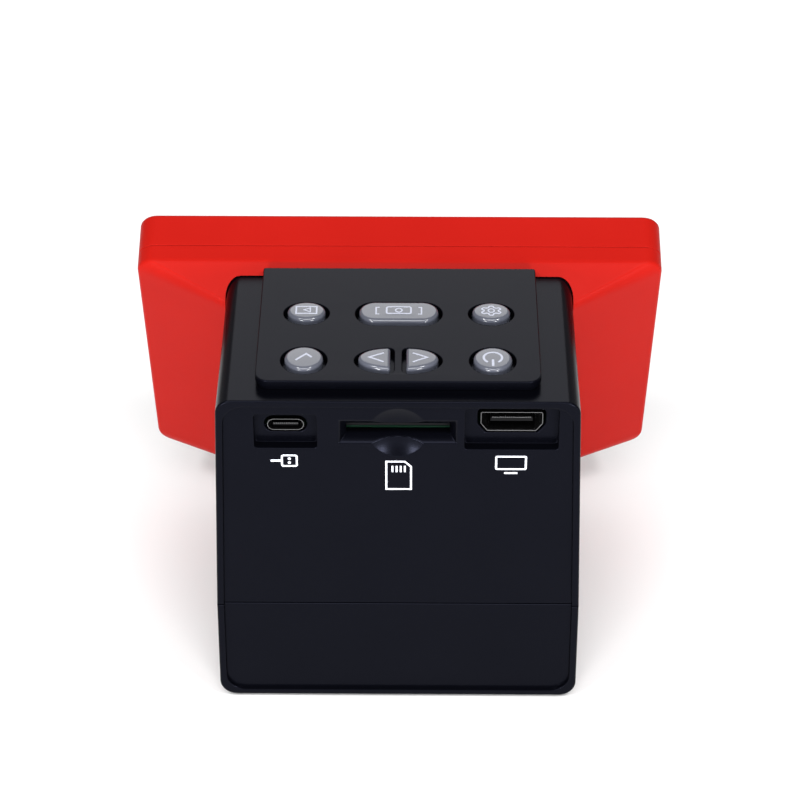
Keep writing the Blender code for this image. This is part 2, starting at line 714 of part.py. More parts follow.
def make_base_housing(plastic, panel):
    """The black tray below the seam: floor, screw posts and lamp posts, and the toe under the display."""
    bottom = [point for point in body_outline(0) if point[1] < SEAM_HEIGHT - OVERRUN]
    seam = SEAM_HEIGHT - SEAT_GAP / 2
    edge = half_width(seam)
    outline = [*bottom, (edge, seam), (-edge, seam)]
    tray = prism("base_housing", BODY, outline, 0, TOE_FRONT + OVERRUN, "Y", plastic)
    wall = HOUSING_WALL
    side = half_width(0) - wall
    toe_roof = TOE_TOP - wall - TOE_CHAMFER
    hollow_outline = [(BACK_WALL, wall), (TOE_FRONT - wall, wall), (TOE_FRONT - wall, toe_roof),
                      (BASE_CAVITY_END, toe_roof), (BASE_CAVITY_END, SEAM_HEIGHT + OVERRUN),
                      (BACK_WALL, SEAM_HEIGHT + OVERRUN)]
    hollow = prism("base_hollow", BODY, hollow_outline, -side, side, "X")
    cut(tray, hollow, front_cutter("base_front_cutter", 0), panel)
    for side in (-1, 1):
        centre = (side * BOSS_X, BOSS_Y)
        join(tray, cylinder("base_post", BODY, centre, BOSS_RADIUS, wall / 2, seam))
        bore = cylinder("screw_bore", BODY, centre, SCREW_BORE_RADIUS, -OVERRUN, BOSS_SHOULDER)
        hole = cylinder("screw_hole", BODY, centre, SCREW_RADIUS + SCREW_GAP, 0, SEAM_HEIGHT + OVERRUN)
        cut(tray, bore, hole)
        for y in (FOOT_REAR_Y, FOOT_FRONT_Y):
            cut(tray, foot_recess(side, y))
        for y_side in (-1, 1):
            x = side * (LIGHT_BOX_LENGTH / 2 - POST_INSET)
            y = OPTIC_Y + y_side * (LIGHT_BOX_WIDTH / 2 - POST_INSET)
            join(tray, cylinder("lamp_post", BODY, (x, y), POST_RADIUS, wall / 2, LAMP_BOARD_Z - SEAT_GAP))
    return tray


def foot_place(side, y):
    x = side * FOOT_X
    if y == FOOT_FRONT_Y:
        x = side * (BOSS_X - BOSS_RADIUS - 2 * FOOT_RADIUS)
    return x, y


def foot_recess(side, y):
    return cylinder("foot_recess", BODY, foot_place(side, y), FOOT_RADIUS + SEAT_GAP, -OVERRUN, FOOT_RECESS)


def make_feet(rubber):
    top = FOOT_RECESS - SEAT_GAP
    bevel = FOOT_PROUD / 2
    profile = [(0, top), (FOOT_RADIUS, top), (FOOT_RADIUS, -FOOT_PROUD + bevel),
               (FOOT_RADIUS - bevel, -FOOT_PROUD), (0, -FOOT_PROUD)]
    names = {(-1, FOOT_REAR_Y): "foot_rear_left", (1, FOOT_REAR_Y): "foot_rear_right",
             (-1, FOOT_FRONT_Y): "foot_front_left", (1, FOOT_FRONT_Y): "foot_front_right"}
    for (side, y), name in names.items():
        turned(name, BODY, (*foot_place(side, y), 0), profile, rubber)


def make_housing_screws(steel):
    """The head seats on the shoulder inside the base's post and the shank reaches into the upper boss."""
    head_top = BOSS_SHOULDER - SEAT_GAP
    profile = [(0, SCREW_END), (SCREW_RADIUS, SCREW_END - SCREW_RADIUS), (SCREW_RADIUS, head_top),
               (SCREW_HEAD_RADIUS, head_top), (SCREW_HEAD_RADIUS, head_top - SCREW_HEAD_HEIGHT / 2),
               (SCREW_HEAD_RADIUS / 2, head_top - SCREW_HEAD_HEIGHT), (0, head_top - SCREW_HEAD_HEIGHT)]
    turned("housing_screw_left", BODY, (-BOSS_X, BOSS_Y, 0), profile, steel)
    turned("housing_screw_right", BODY, (BOSS_X, BOSS_Y, 0), profile, steel)


def make_keypad(plastic):
    """Two tiers over the roof opening: a frame, and over it the plate with the key holes."""
    frame = prism("keypad_frame", BODY, plate_outline(0), BODY_HEIGHT + SEAT_GAP / 2, BODY_HEIGHT + FRAME_TOP,
                  "Z", plastic)
    cut(frame, keypad_opening_cutter("frame_keypad_opening"))
    top = BODY_HEIGHT + PLATE_TOP
    rings = [level_ring(plate_outline(PLATE_EDGE), PLATE_UNDER),
             level_ring(plate_outline(0), PLATE_UNDER + PLATE_EDGE),
             level_ring(plate_outline(0), top - PLATE_EDGE), level_ring(plate_outline(PLATE_EDGE), top)]
    plate = loft("keypad_plate", BODY, rings, plastic)
    for name, centre, size, outline in key_rows():
        cut(plate, key_hole(name + "_hole", centre, size, outline))
    return frame, plate


def make_key(name, centre, size, outline, plastic):
    """A key is skinned from its stem, over the flange that holds it under the plate, to its domed cap.
    Its origin is in the middle of its foot, on its line of travel."""
    flange_top = PLATE_UNDER - SEAT_GAP - BODY_HEIGHT
    flange_low = flange_top - KEY_FLANGE_THICKNESS
    stem_end = SWITCH_TOP - SWITCH_WELL_DEPTH + KEY_TRAVEL + SWITCH_WELL_REST - BODY_HEIGHT
    top = PLATE_TOP + KEY_PROUD
    slim = KEY_STEM_HALF / max(size)
    stem = [(x * slim, y * slim) for x, y in outline]
    flange = grown(outline, size, KEY_HOLE_GAP + KEY_FLANGE_LIP)
    rings = [level_ring(stem, stem_end), level_ring(stem, flange_low), level_ring(flange, flange_low),
             level_ring(flange, flange_top), level_ring(outline, flange_top),
             level_ring(outline, top - KEY_EDGE)]
    for share in EDGE_SHARES:
        angle = share * math.pi / 2
        inset = KEY_EDGE * (1 - math.cos(angle))
        rings.append(level_ring(grown(outline, size, -inset), top - KEY_EDGE * (1 - math.sin(angle))))
    for width_share, rise_share in DOME_SHARES:
        dome = [(x * width_share, y * width_share) for x, y in outline]
        rings.append(level_ring(dome, top + KEY_DOME * rise_share))
    key = loft(name, BODY, rings, plastic)
    key.location = (*centre, BODY_HEIGHT)
    return shade(key)


def make_switch(name, centre, material):
    """A dome switch: a square case with a well that the key's stem presses into."""
    low = KEY_BOARD_TOP + SEAT_GAP / 2
    x, y = centre
    case = block(name, BODY, (x - SWITCH_HALF, y - SWITCH_HALF, low),
                 (x + SWITCH_HALF, y + SWITCH_HALF, SWITCH_TOP), material)
    floor = SWITCH_TOP - SWITCH_WELL_DEPTH
    well = block(name + "_well", BODY, (x - SWITCH_WELL_HALF, y - SWITCH_WELL_HALF, floor),
                 (x + SWITCH_WELL_HALF, y + SWITCH_WELL_HALF, SWITCH_TOP + OVERRUN))
    return cut(case, well)


def make_boards(board):
    block("key_board", BODY, (-KEY_BOARD_HALF, KEY_BOARD_NEAR_Y, KEY_BOARD_TOP - BOARD_THICKNESS),
          (KEY_BOARD_HALF, KEY_BOARD_FAR_Y, KEY_BOARD_TOP), board)
    block("main_board", BODY, (-MAIN_BOARD_HALF, MAIN_BOARD_NEAR_Y, MAIN_BOARD_BOTTOM),
          (MAIN_BOARD_HALF, MAIN_BOARD_FAR_Y, MAIN_BOARD_TOP), board)


def scaled_outline(outline, skin):
    """The outline drawn in by a skin on every side."""
    xs = [point[0] for point in outline]
    zs = [point[1] for point in outline]
    middle = ((min(xs) + max(xs)) / 2, (min(zs) + max(zs)) / 2)
    half = ((max(xs) - min(xs)) / 2, (max(zs) - min(zs)) / 2)
    return [(middle[0] + (x - middle[0]) * (half[0] - skin) / half[0],
             middle[1] + (z - middle[1]) * (half[1] - skin) / half[1]) for x, z in outline]


def make_socket(name, outline, skin, length, tongue_thickness, metal, dark):
    """A metal shell that is open to the back face, round a plug of plastic with a thin tongue."""
    far = SOCKET_FACE_Y + length
    shell = prism(name + "_shell", BODY, outline, SOCKET_FACE_Y, far, "Y", metal)
    inside = scaled_outline(outline, skin)
    cut(shell, prism(name + "_mouth", BODY, inside, SOCKET_FACE_Y - OVERRUN, far - skin, "Y"))
    fill = scaled_outline(outline, skin + SEAT_GAP)
    end = far - skin - SEAT_GAP
    plug = prism(name + "_tongue", BODY, fill, end - length * SOCKET_PLUG_SHARE, end, "Y", dark)
    xs = [point[0] for point in fill]
    zs = [point[1] for point in fill]
    inset = (max(xs) - min(xs)) * TONGUE_INSET_SHARE
    middle = (min(zs) + max(zs)) / 2
    low = middle - tongue_thickness / 2
    tongue = block(name + "_tongue_bar", BODY, (min(xs) + inset, SOCKET_FACE_Y + skin, low),
                   (max(xs) - inset, end - skin, low + tongue_thickness))
    join(plug, tongue)


def make_card_socket(metal):
    """A flat metal cage on the main board, open to the back face."""
    half = CARD_WIDTH / 2 + CARD_SOCKET_SKIN
    near = PORT_WALL + SEAT_GAP
    cage = block("card_socket", BODY, (-half, near, SOCKET_Z),
                 (half, near + CARD_SOCKET_LENGTH, CARD_HIGH + CARD_SOCKET_SKIN), metal)
    mouth = block("card_mouth", BODY, (-CARD_WIDTH / 2, near - OVERRUN, SOCKET_Z + CARD_SOCKET_SKIN),
                  (CARD_WIDTH / 2, near + CARD_SOCKET_LENGTH - CARD_SOCKET_SKIN, CARD_HIGH))
    return cut(cage, mouth)


def make_film_guides(plastic):
    """Two plates with a film window. The lower one has a rail along each long side, and the upper one
    rests on the rails."""
    far = SLOT_FAR_Y + GUIDE_RAIL
    near = SLOT_NEAR_Y - GUIDE_RAIL
    lower = block("film_guide_lower", BODY, (-GUIDE_HALF, near, GUIDE_BOTTOM), (GUIDE_HALF, far, SLOT_LOW),
                  plastic)
    for name, one, two in (("near_rail", near, SLOT_NEAR_Y), ("far_rail", SLOT_FAR_Y, far)):
        rail = block(name, BODY, (-GUIDE_HALF, one, GUIDE_BOTTOM), (GUIDE_HALF, two, SLOT_HIGH - SEAT_GAP))
        join(lower, rail)
    cut(lower, film_window("lower_window"))
    upper = block("film_guide_upper", BODY, (-GUIDE_HALF, near, UPPER_GUIDE_BOTTOM),
                  (GUIDE_HALF, far, UPPER_GUIDE_TOP), plastic)
    cut(upper, film_window("upper_window"))


def film_window(name):
    return block(name, BODY, (-FILM_WINDOW_LENGTH / 2, OPTIC_Y - FILM_WINDOW_WIDTH / 2, 0),
                 (FILM_WINDOW_LENGTH / 2, OPTIC_Y + FILM_WINDOW_WIDTH / 2, UPPER_GUIDE_TOP + OVERRUN))


def hood_ring(length, width, inset, z):
    return level_ring(shifted(rectangle(length / 2 - inset, width / 2 - inset, HOOD_RADIUS), 0, OPTIC_Y), z)


def make_camera(dark, metal, glass, board):
    """A hood narrows from the film window to a square tower, which holds the lens and the sensor."""
    foot = (HOOD_FOOT_LENGTH, HOOD_FOOT_WIDTH)
    head = (HOOD_HEAD, HOOD_HEAD)
    ledge = HOOD_WALL + HOOD_LEDGE
    seat = HOOD_NECK_Z + HOOD_LEDGE
    rings = [hood_ring(*foot, 0, HOOD_BOTTOM), hood_ring(*head, 0, HOOD_NECK_Z),
             hood_ring(*head, 0, HOOD_TOP), hood_ring(*head, HOOD_WALL, HOOD_TOP),
             hood_ring(*head, HOOD_WALL, seat),
             hood_ring(*head, ledge, seat), hood_ring(*head, ledge, HOOD_NECK_Z),
             hood_ring(*foot, HOOD_WALL, HOOD_BOTTOM)]
    loft("camera_tower", BODY, rings, dark, tube=True)
    low = seat + SEAT_GAP
    lip = BARREL_BORE - BARREL_LIP
    shoulder = low + BARREL_FLANGE_THICKNESS
    profile = [(BARREL_BORE, low + BARREL_LENGTH), (BARREL_RADIUS, low + BARREL_LENGTH),
               (BARREL_RADIUS, shoulder), (BARREL_FLANGE_RADIUS, shoulder), (BARREL_FLANGE_RADIUS, low),
               (lip, low), (lip, low + BARREL_LIP), (BARREL_BORE, low + BARREL_LIP),
               (BARREL_BORE, low + BARREL_LENGTH)]
    turned("lens_barrel", BODY, (0, OPTIC_Y, 0), profile, metal)
    rest = low + BARREL_LIP + SEAT_GAP + LENS_CROWN
    bend = LENS_RADIUS * LENS_BEND_SHARE
    rise = LENS_CROWN * LENS_RISE_SHARE
    lens = [(0, rest + LENS_EDGE + LENS_CROWN), (bend, rest + LENS_EDGE + rise),
            (LENS_RADIUS, rest + LENS_EDGE), (LENS_RADIUS, rest), (bend, rest - rise),
            (0, rest - LENS_CROWN)]
    turned("lens", BODY, (0, OPTIC_Y, 0), lens, glass)
    half = HOOD_HEAD / 2
    low = HOOD_TOP + SEAT_GAP
    block("sensor_board", BODY, (-half, OPTIC_Y - half, low),
          (half, OPTIC_Y + half, low + BOARD_THICKNESS), board)
    block("image_sensor", BODY, (-SENSOR_HALF, OPTIC_Y - SENSOR_HALF, HOOD_TOP - SENSOR_THICKNESS),
          (SENSOR_HALF, OPTIC_Y + SENSOR_HALF, HOOD_TOP), dark)


def light_ring(inset, z):
    outline = rectangle(LIGHT_BOX_LENGTH / 2 - inset, LIGHT_BOX_WIDTH / 2 - inset, LIGHT_BOX_RADIUS)
    return level_ring(shifted(outline, 0, OPTIC_Y), z)


def make_light(white, milk, board):
    """A white box on the lamp board, with a step near its top that carries the diffuser."""
    step = SEAM_HEIGHT - SEAT_GAP - DIFFUSER_THICKNESS
    rings = [light_ring(0, LIGHT_BOX_BOTTOM), light_ring(0, SEAM_HEIGHT),
             light_ring(LIGHT_BOX_WALL, SEAM_HEIGHT), light_ring(LIGHT_BOX_WALL, step),
             light_ring(2 * LIGHT_BOX_WALL, step),
             light_ring(2 * LIGHT_BOX_WALL, LIGHT_BOX_BOTTOM)]
    loft("light_box", BODY, rings, white, tube=True)
    inset = LIGHT_BOX_WALL + SEAT_GAP
    loft("diffuser", BODY, [light_ring(inset, step + SEAT_GAP), light_ring(inset, SEAM_HEIGHT)], milk)
    half_length = LIGHT_BOX_LENGTH / 2 + LAMP_BOARD_MARGIN
    half_width_of_board = LIGHT_BOX_WIDTH / 2 + LAMP_BOARD_MARGIN
    lamps = block("lamp_board", BODY, (-half_length, OPTIC_Y - half_width_of_board, LAMP_BOARD_Z),
                  (half_length, OPTIC_Y + half_width_of_board, LAMP_BOARD_TOP), board)
    for column in (-1, 0, 1):
        for row in (-1, 0, 1):
            x = column * LAMP_PITCH
            y = OPTIC_Y + row * LAMP_PITCH
            lamp = block("lamp", BODY, (x - LAMP_HALF, y - LAMP_HALF, LAMP_BOARD_TOP - BOARD_THICKNESS / 2),
                         (x + LAMP_HALF, y + LAMP_HALF, LAMP_BOARD_TOP + LAMP_HEIGHT))
            join(lamps, lamp)


def slab_ring(inset, y, radius=DISPLAY_RADIUS):
    """The display's outline, drawn in by inset, at depth y of its own frame."""
    return upright_ring(rectangle(DISPLAY_WIDTH / 2 - inset, DISPLAY_HEIGHT / 2 - inset, radius), y)


def funnel_ring(wall, y, radius):
    """The four-sided funnel at depth y, with faces set in by a wall measured square to each face."""
    depth_share = -y / FUNNEL_DEPTH
    edges = []
    for rim, inset in funnel_sides():
        slope = inset / FUNNEL_DEPTH
        edges.append(rim - inset * depth_share - wall * math.sqrt(1 + slope * slope))
    top, bottom, upper_side, lower_side = edges
    corners = [(-lower_side, -bottom), (lower_side, -bottom), (upper_side, top), (-upper_side, top)]
    return upright_ring(rounded_outline(corners, [radius] * 4), y)


def funnel_sides():
    """Rim distance from the middle and inset at the neck: top, bottom, and the sides up and down."""
    half_height = DISPLAY_HEIGHT / 2
    half = DISPLAY_WIDTH / 2
    neck_top = display_point(-FUNNEL_DEPTH, half_height - FUNNEL_TOP_INSET)[1]
    neck_foot = display_point(-FUNNEL_DEPTH, -half_height + FUNNEL_BOTTOM_INSET)[1]
    return [(half_height, FUNNEL_TOP_INSET), (half_height, FUNNEL_BOTTOM_INSET),
            (half, half - half_width(neck_top)), (half, half - half_width(neck_foot))]


def make_display_back(red):
    """The red back shell: a band round the rim and a shallow funnel with a hole that fits the body."""
    rim = slab_ring(0, 0)
    neck = funnel_ring(0, -FUNNEL_DEPTH, FUNNEL_RADIUS)
    inner_neck = funnel_ring(DISPLAY_WALL, -FUNNEL_DEPTH + DISPLAY_WALL, FUNNEL_RADIUS)
    side_slope = (DISPLAY_WIDTH - BODY_TOP_WIDTH) / 2 / FUNNEL_DEPTH
    inner_bend = DISPLAY_WALL * (math.sqrt(1 + side_slope ** 2) - 1) / side_slope
    inner_radius = DISPLAY_RADIUS - DISPLAY_WALL
    rings = [slab_ring(0, REAR_BAND), slab_ring(0, DISPLAY_EDGE),
             blend_rings(rim, neck, FUNNEL_EDGE_SHARE), neck, inner_neck,
             slab_ring(DISPLAY_WALL, inner_bend, inner_radius),
             slab_ring(DISPLAY_WALL, REAR_BAND, inner_radius)]
    shell = loft("display_back_shell", DISPLAY, rings, red, tube=True)
    body = prism("body_hole", BODY, body_outline(-SEAT_GAP), -OVERRUN, TOE_FRONT + DISPLAY_THICKNESS, "Y")
    cut(body, front_cutter("body_hole_end", SEAT_GAP))
    return cut(shell, body)


def make_display_front(red):
    """The red front frame: a rim, and a face with a sunk seat for the window round the opening."""
    back = REAR_BAND + SEAT_GAP
    front = DISPLAY_THICKNESS
    seat_outline = rectangle(WINDOW_WIDTH / 2 + SEAT_GAP, WINDOW_HEIGHT / 2 + SEAT_GAP, WINDOW_RADIUS)
    seat = upright_ring(seat_outline, front)
    seat_floor = [(x, WINDOW_SEAT, z) for x, _, z in seat]
    view = upright_ring(rectangle(VIEW_WIDTH / 2, VIEW_HEIGHT / 2, VIEW_RADIUS), WINDOW_SEAT)
    view_back = [(x, FRAME_BACK, z) for x, _, z in view]
    inner_radius = DISPLAY_RADIUS - DISPLAY_WALL
    arc = DISPLAY_EDGE * (1 - math.cos(math.pi / 4))
    rings = [slab_ring(0, back), slab_ring(0, front - DISPLAY_EDGE), slab_ring(arc, front - arc),
             slab_ring(DISPLAY_EDGE, front), seat, seat_floor, view, view_back,
             slab_ring(DISPLAY_WALL, FRAME_BACK, inner_radius), slab_ring(DISPLAY_WALL, back, inner_radius)]
    return loft("display_front_frame", DISPLAY, rings, red, tube=True)


def make_screen(glass, dark, steel):
    front = DISPLAY_THICKNESS
    window = rectangle(WINDOW_WIDTH / 2, WINDOW_HEIGHT / 2, WINDOW_RADIUS)
    prism("screen_window", DISPLAY, window, front - WINDOW_THICKNESS, front, "Y", glass)
    half = VIEW_WIDTH / 2 + PANEL_MARGIN
    tall = VIEW_HEIGHT / 2 + PANEL_MARGIN / 2
    block("display_panel", DISPLAY, (-half, LCD_BACK, -tall), (half, LCD_BACK + LCD_THICKNESS, tall), dark)
    wide = DISPLAY_WIDTH / 2 - DISPLAY_WALL - SEAT_GAP
    far = LCD_BACK - SEAT_GAP
    bracket = block("display_bracket", DISPLAY, (-wide, far - BRACKET_THICKNESS, -BRACKET_HEIGHT / 2),
                    (wide, far, BRACKET_HEIGHT / 2), steel)
    slot = block("bracket_slot", DISPLAY, (-BRACKET_SLOT_WIDTH / 2, far - OVERRUN, -BRACKET_SLOT_HEIGHT / 2),
                 (BRACKET_SLOT_WIDTH / 2, far + OVERRUN, BRACKET_SLOT_HEIGHT / 2))
    cut(bracket, slot)


def make_flex(amber):
    """The ribbon from the main board to the back of the display panel, through the bracket's slot."""
    board_end = MAIN_BOARD_FAR_Y - FLEX_FOOT
    rise = MAIN_BOARD_TOP + SEAT_GAP
    last = Vector(display_point(LCD_BACK - SEAT_GAP - FLEX_THICKNESS, 0))
    bend = Vector(display_point(LCD_BACK - SEAT_GAP - BRACKET_THICKNESS - FLEX_HEIGHT, FLEX_HEIGHT))
    path = [Vector((board_end, rise)), Vector((MAIN_BOARD_FAR_Y, rise)), bend, last]
    lift = [Vector((0, FLEX_THICKNESS)), Vector((FLEX_THICKNESS, FLEX_THICKNESS)) / 2,
            Vector((FLEX_THICKNESS, 0)), Vector((FLEX_THICKNESS, 0))]
    outline = path + [point + step for point, step in reversed(list(zip(path, lift)))]
    prism("display_flex", BODY, outline, -FLEX_HALF_WIDTH, FLEX_HALF_WIDTH, "X", amber)


def build():
    black = finish("body_black", (0.020, 0.020, 0.026), 0.42)
    red = finish("display_red", (0.72, 0.030, 0.018), 0.42)
    grey = finish("key_grey", (0.21, 0.22, 0.25), 0.38)
    rubber = finish("rubber", (0.03, 0.03, 0.03), 0.85)
    steel = finish("steel", (0.55, 0.55, 0.56), 0.35, 1.0)
    board = finish("board_green", (0.02, 0.13, 0.06), 0.5)
    dark = finish("inner_black", (0.015, 0.015, 0.015), 0.6)
    glass = finish("glass", (0.02, 0.02, 0.025), 0.08)
    white = finish("inner_white", (0.8, 0.8, 0.78), 0.6)
    milk = finish("diffuser_white", (0.85, 0.85, 0.85), 0.5)
    amber = finish("flex_amber", (0.35, 0.15, 0.03), 0.4)
    panel = back_panel_cutter()
    make_upper_housing(black, panel)
    make_base_housing(black, panel)
    make_feet(rubber)
    make_housing_screws(steel)
    make_keypad(black)
    for name, centre, size, outline in key_rows():
        make_key(name, centre, size, outline, grey)
        make_switch(name.replace("_key", "_switch"), centre, dark)
    make_boards(board)
    make_socket("usb", usb_outline(0), USB_SKIN, USB_LENGTH, USB_TONGUE, steel, dark)
    make_socket("video", hdmi_outline(0), HDMI_SKIN, HDMI_LENGTH, HDMI_TONGUE, steel, dark)
    make_card_socket(steel)
    make_film_guides(dark)
    make_camera(dark, steel, glass, board)
    make_light(white, milk, board)
    make_display_back(red)
    make_display_front(red)
    make_screen(glass, dark, steel)
    make_flex(amber)
    bpy.context.view_layer.update()


build()
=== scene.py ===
"""Looks of the desktop film scanner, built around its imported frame. Lengths are in metres."""

import math

import bmesh
import bpy
import numpy as np
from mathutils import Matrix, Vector
from mathutils.geometry import delaunay_2d_cdt


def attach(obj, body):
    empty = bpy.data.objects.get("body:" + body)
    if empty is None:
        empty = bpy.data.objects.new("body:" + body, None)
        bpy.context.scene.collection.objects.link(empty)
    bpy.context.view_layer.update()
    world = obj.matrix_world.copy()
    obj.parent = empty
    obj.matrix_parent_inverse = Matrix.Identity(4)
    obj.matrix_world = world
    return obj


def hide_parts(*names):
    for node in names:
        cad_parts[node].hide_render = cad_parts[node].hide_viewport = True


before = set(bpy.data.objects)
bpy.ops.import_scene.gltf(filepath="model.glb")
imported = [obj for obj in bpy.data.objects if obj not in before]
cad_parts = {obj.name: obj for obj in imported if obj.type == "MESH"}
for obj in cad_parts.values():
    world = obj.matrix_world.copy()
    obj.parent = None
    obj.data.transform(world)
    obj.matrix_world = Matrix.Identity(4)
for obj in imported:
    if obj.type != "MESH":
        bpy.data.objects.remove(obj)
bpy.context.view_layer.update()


# Camera: a long lens that looks down on the keypad and the port face from behind the scanner. Its place and
# shift were fitted to the photograph's sockets and to the straight edges of the body.
AIM = Vector((0, -0.04867, 0.0942))
TILT = math.radians(36.10)
SWING = math.radians(0.414)
STAND_OFF = 0.6573
FOCAL_LENGTH = 124.28
SHIFT = (0.00266, 0.00269)
forward = Vector((-math.sin(SWING) * math.cos(TILT), math.cos(SWING) * math.cos(TILT), -math.sin(TILT)))
camera = bpy.data.objects.new("camera", bpy.data.cameras.new("camera"))
bpy.context.scene.collection.objects.link(camera)
camera.data.lens = FOCAL_LENGTH
camera.data.shift_x, camera.data.shift_y = SHIFT
camera.data.clip_start = 0.05
camera.location = AIM - forward * STAND_OFF
camera.rotation_mode = "QUATERNION"
camera.rotation_quaternion = (-forward).to_track_quat("Z", "Y")
bpy.context.scene.camera = camera
bpy.context.scene.view_settings.view_transform = "Standard"


# Soft studio light: a dim white surround, a wide box overhead, one behind the camera and one on the screen's
# side. At each side a small box puts the glints on the keys, and a low one lights the red shell's flank.
SURROUND = 0.39


def lamp(name, place, aim, size, power):
    """A square area light at place, turned towards aim."""
    light = bpy.data.lights.new(name, "AREA")
    light.size = size
    light.energy = power
    holder = bpy.data.objects.new(name, light)
    holder.location = place
    holder.rotation_mode = "QUATERNION"
    holder.rotation_quaternion = (Vector(place) - Vector(aim)).to_track_quat("Z", "Y")
    bpy.context.scene.collection.objects.link(holder)


surround = bpy.data.worlds.new("surround")
surround.use_nodes = True
background = surround.node_tree.nodes["Background"]
background.inputs["Color"].default_value = (1, 1, 1, 1)
background.inputs["Strength"].default_value = SURROUND
bpy.context.scene.world = surround
lamp("overhead_box", (0.0, 0.0, 1.0), (0, 0, 0.05), 1.0, 0.6)
lamp("rear_box", (0.0, -0.75, 0.90), (0, 0, 0.06), 0.6, 7)
lamp("screen_side_box", (0.0, 1.0, 0.85), (0, 0, 0.09), 0.8, 4)
for side in (-1, 1):
    lamp("key_glint_box", (side * 0.39, -0.44, 0.80), (0, -0.03, 0.09), 0.13, 2.6)
    lamp("low_side_box", (side * 0.38, -0.85, 0.10), (0, -0.05, 0.08), 0.18, 5)


# Finishes: nearly every piece is moulded plastic or bare metal, with a fine skin and a faint drift of colour
# and gloss. Each finish is a shader tree whose sums are written as sums.
class Wire:
    """One output of a shader node. Arithmetic with it adds Math nodes to its paint."""

    def __init__(self, paint, socket):
        self.paint = paint
        self.socket = socket

    def _sum(self, operation, first, second):
        return self.paint.node("ShaderNodeMath", {"operation": operation}, {0: first, 1: second})

    def __add__(self, other):
        return self._sum("ADD", self, other)

    def __sub__(self, other):
        return self._sum("SUBTRACT", self, other)

    def __rsub__(self, other):
        return self._sum("SUBTRACT", other, self)

    def __mul__(self, other):
        return self._sum("MULTIPLY", self, other)

    __radd__ = __add__
    __rmul__ = __mul__


class Paint:
    """A material in the making. node() adds any node from its type, its settings and its sockets."""

    def __init__(self, name, **sockets):
        self.material = bpy.data.materials.new(name)
        self.material.use_nodes = True
        self.nodes = self.material.node_tree.nodes
        self.links = self.material.node_tree.links
        self.shader = self.nodes["Principled BSDF"]
        self.fill(self.shader, {key.replace("_", " "): value for key, value in sockets.items()})

    def fill(self, node, sockets):
        """Links or sets the sockets of a node."""
        for key, value in sockets.items():
            if isinstance(value, Wire):
                self.links.new(value.socket, node.inputs[key])
            else:
                node.inputs[key].default_value = value

    def node(self, kind, settings, sockets, output=0):
        """Adds a node: its settings first, then its sockets. Returns one of its outputs."""
        node = self.nodes.new(kind)
        for key, value in settings.items():
            setattr(node, key, value)
        self.fill(node, sockets)
        return Wire(self, node.outputs[output])

    def place(self):
        """The point of the piece, on Object coordinates."""
        return self.node("ShaderNodeTexCoord", {}, {}, output=3)

    def grain(self, scale, detail=2.0):
        """Noise of so many cells a metre over the piece."""
        return self.node("ShaderNodeTexNoise", {}, {"Vector": self.place(), "Scale": scale, "Detail": detail})

    def along(self, axis):
        """The place on the piece along X, Y or Z, as 0, 1 or 2."""
        return self.node("ShaderNodeSeparateXYZ", {}, {0: self.place()}, output=axis)

    def step(self, value, low, high):
        """Nought below low, one above high, and an even slope between them."""
        return self.node("ShaderNodeMapRange", {}, {"Value": value, "From Min": low, "From Max": high})

    def tint(self, factor, dark, light):
        """A colour between dark and light."""
        colours = {0: factor, 6: (*dark, 1), 7: (*light, 1)}
        return self.node("ShaderNodeMix", {"data_type": "RGBA"}, colours, output=2)

    def relief(self, height, depth):
        """Bump of that depth in metres, on the shader's normal."""
        bump = self.node("ShaderNodeBump", {}, {"Height": height, "Distance": depth, "Strength": 1.0})
        self.fill(self.shader, {"Normal": bump})


DRIFT_SCALE = 60.0


def moulded(name, dark, light, roughness, spread, pitch, depth, **sockets):
    """Moulded plastic or drawn metal: a skin of bumps of that pitch and depth, whose gloss swings by spread
    round roughness, and a slow drift of colour between dark and light."""
    paint = Paint(name, **sockets)
    skin = paint.grain(1 / pitch, 3.0)
    drift = paint.grain(DRIFT_SCALE, 1.0)
    paint.fill(paint.shader, {
        "Base Color": paint.tint(drift, dark, light),
        "Roughness": roughness + spread * (skin - 0.5),
    })
    paint.relief(skin, depth)
    return paint.material


def dress(material, *names):
    """Gives CAD nodes one material."""
    for name in names:
        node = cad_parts[name]
        node.data.materials.clear()
        node.data.materials.append(material)


# Upper housing: the black shell of the body, one moulding. Its back face is a shallow sunk panel with the
# port recesses and the card slot's finger dish. The roof opens under the keypad, and film passes through
# a slot in each side wall. It stands on the base with a fine open seam.
BACK = -0.0486685
STANDING = 0.0008
BODY_HEIGHT = 0.0934
SEAM = 0.0300
SEAM_HALF_GAP = 0.00015
SEAM_CHAMFER = 0.00010
HALF_BASE = 0.0457
HALF_SEAM = 0.0455
HALF_TOP = 0.04365
TOP_RADIUS = 0.0037
BASE_RADIUS = 0.0043
BACK_ROUND = 0.0005
PANEL_DEPTH = 0.0010
PANEL_STEP = ((0.00155, 0, 0.00515), (0.00162, 0.00002, 0.00508), (0.0017, 0.00007, 0.0050),
              (0.0019, PANEL_DEPTH, 0.0048))
HOUSING_WALL = 0.0022
PORT_WALL = 0.0053
PORT_WALL_HALF = 0.0390
PORT_WALL_LOW = 0.0765
RECESS_FLOOR = 0.0037
RECESS_RADIUS = 0.0009
RECESS_ROUND = 0.00016
HOLE_GROWTH = 0.0007
PORT_HOLE_ROUND = 0.0003
RECESS_FOOT = 0.00012
INNER_CORNER = 0.0015
SLANT_START = (0.054826, 0.095778)
SLANT = 0.26382
FILM_SLOT = ((0.0048, 0.0617), (0.0330, 0.0405))
FILM_SLOT_CORNER = 0.0006
FILM_SLOT_ROUND = 0.00025
KEYPAD_OPENING = (0.0315, 0.0059, 0.0495)
KEYPAD_OPENING_CORNER = 0.0008
USB_PORT = (-0.0271, 0.08415)
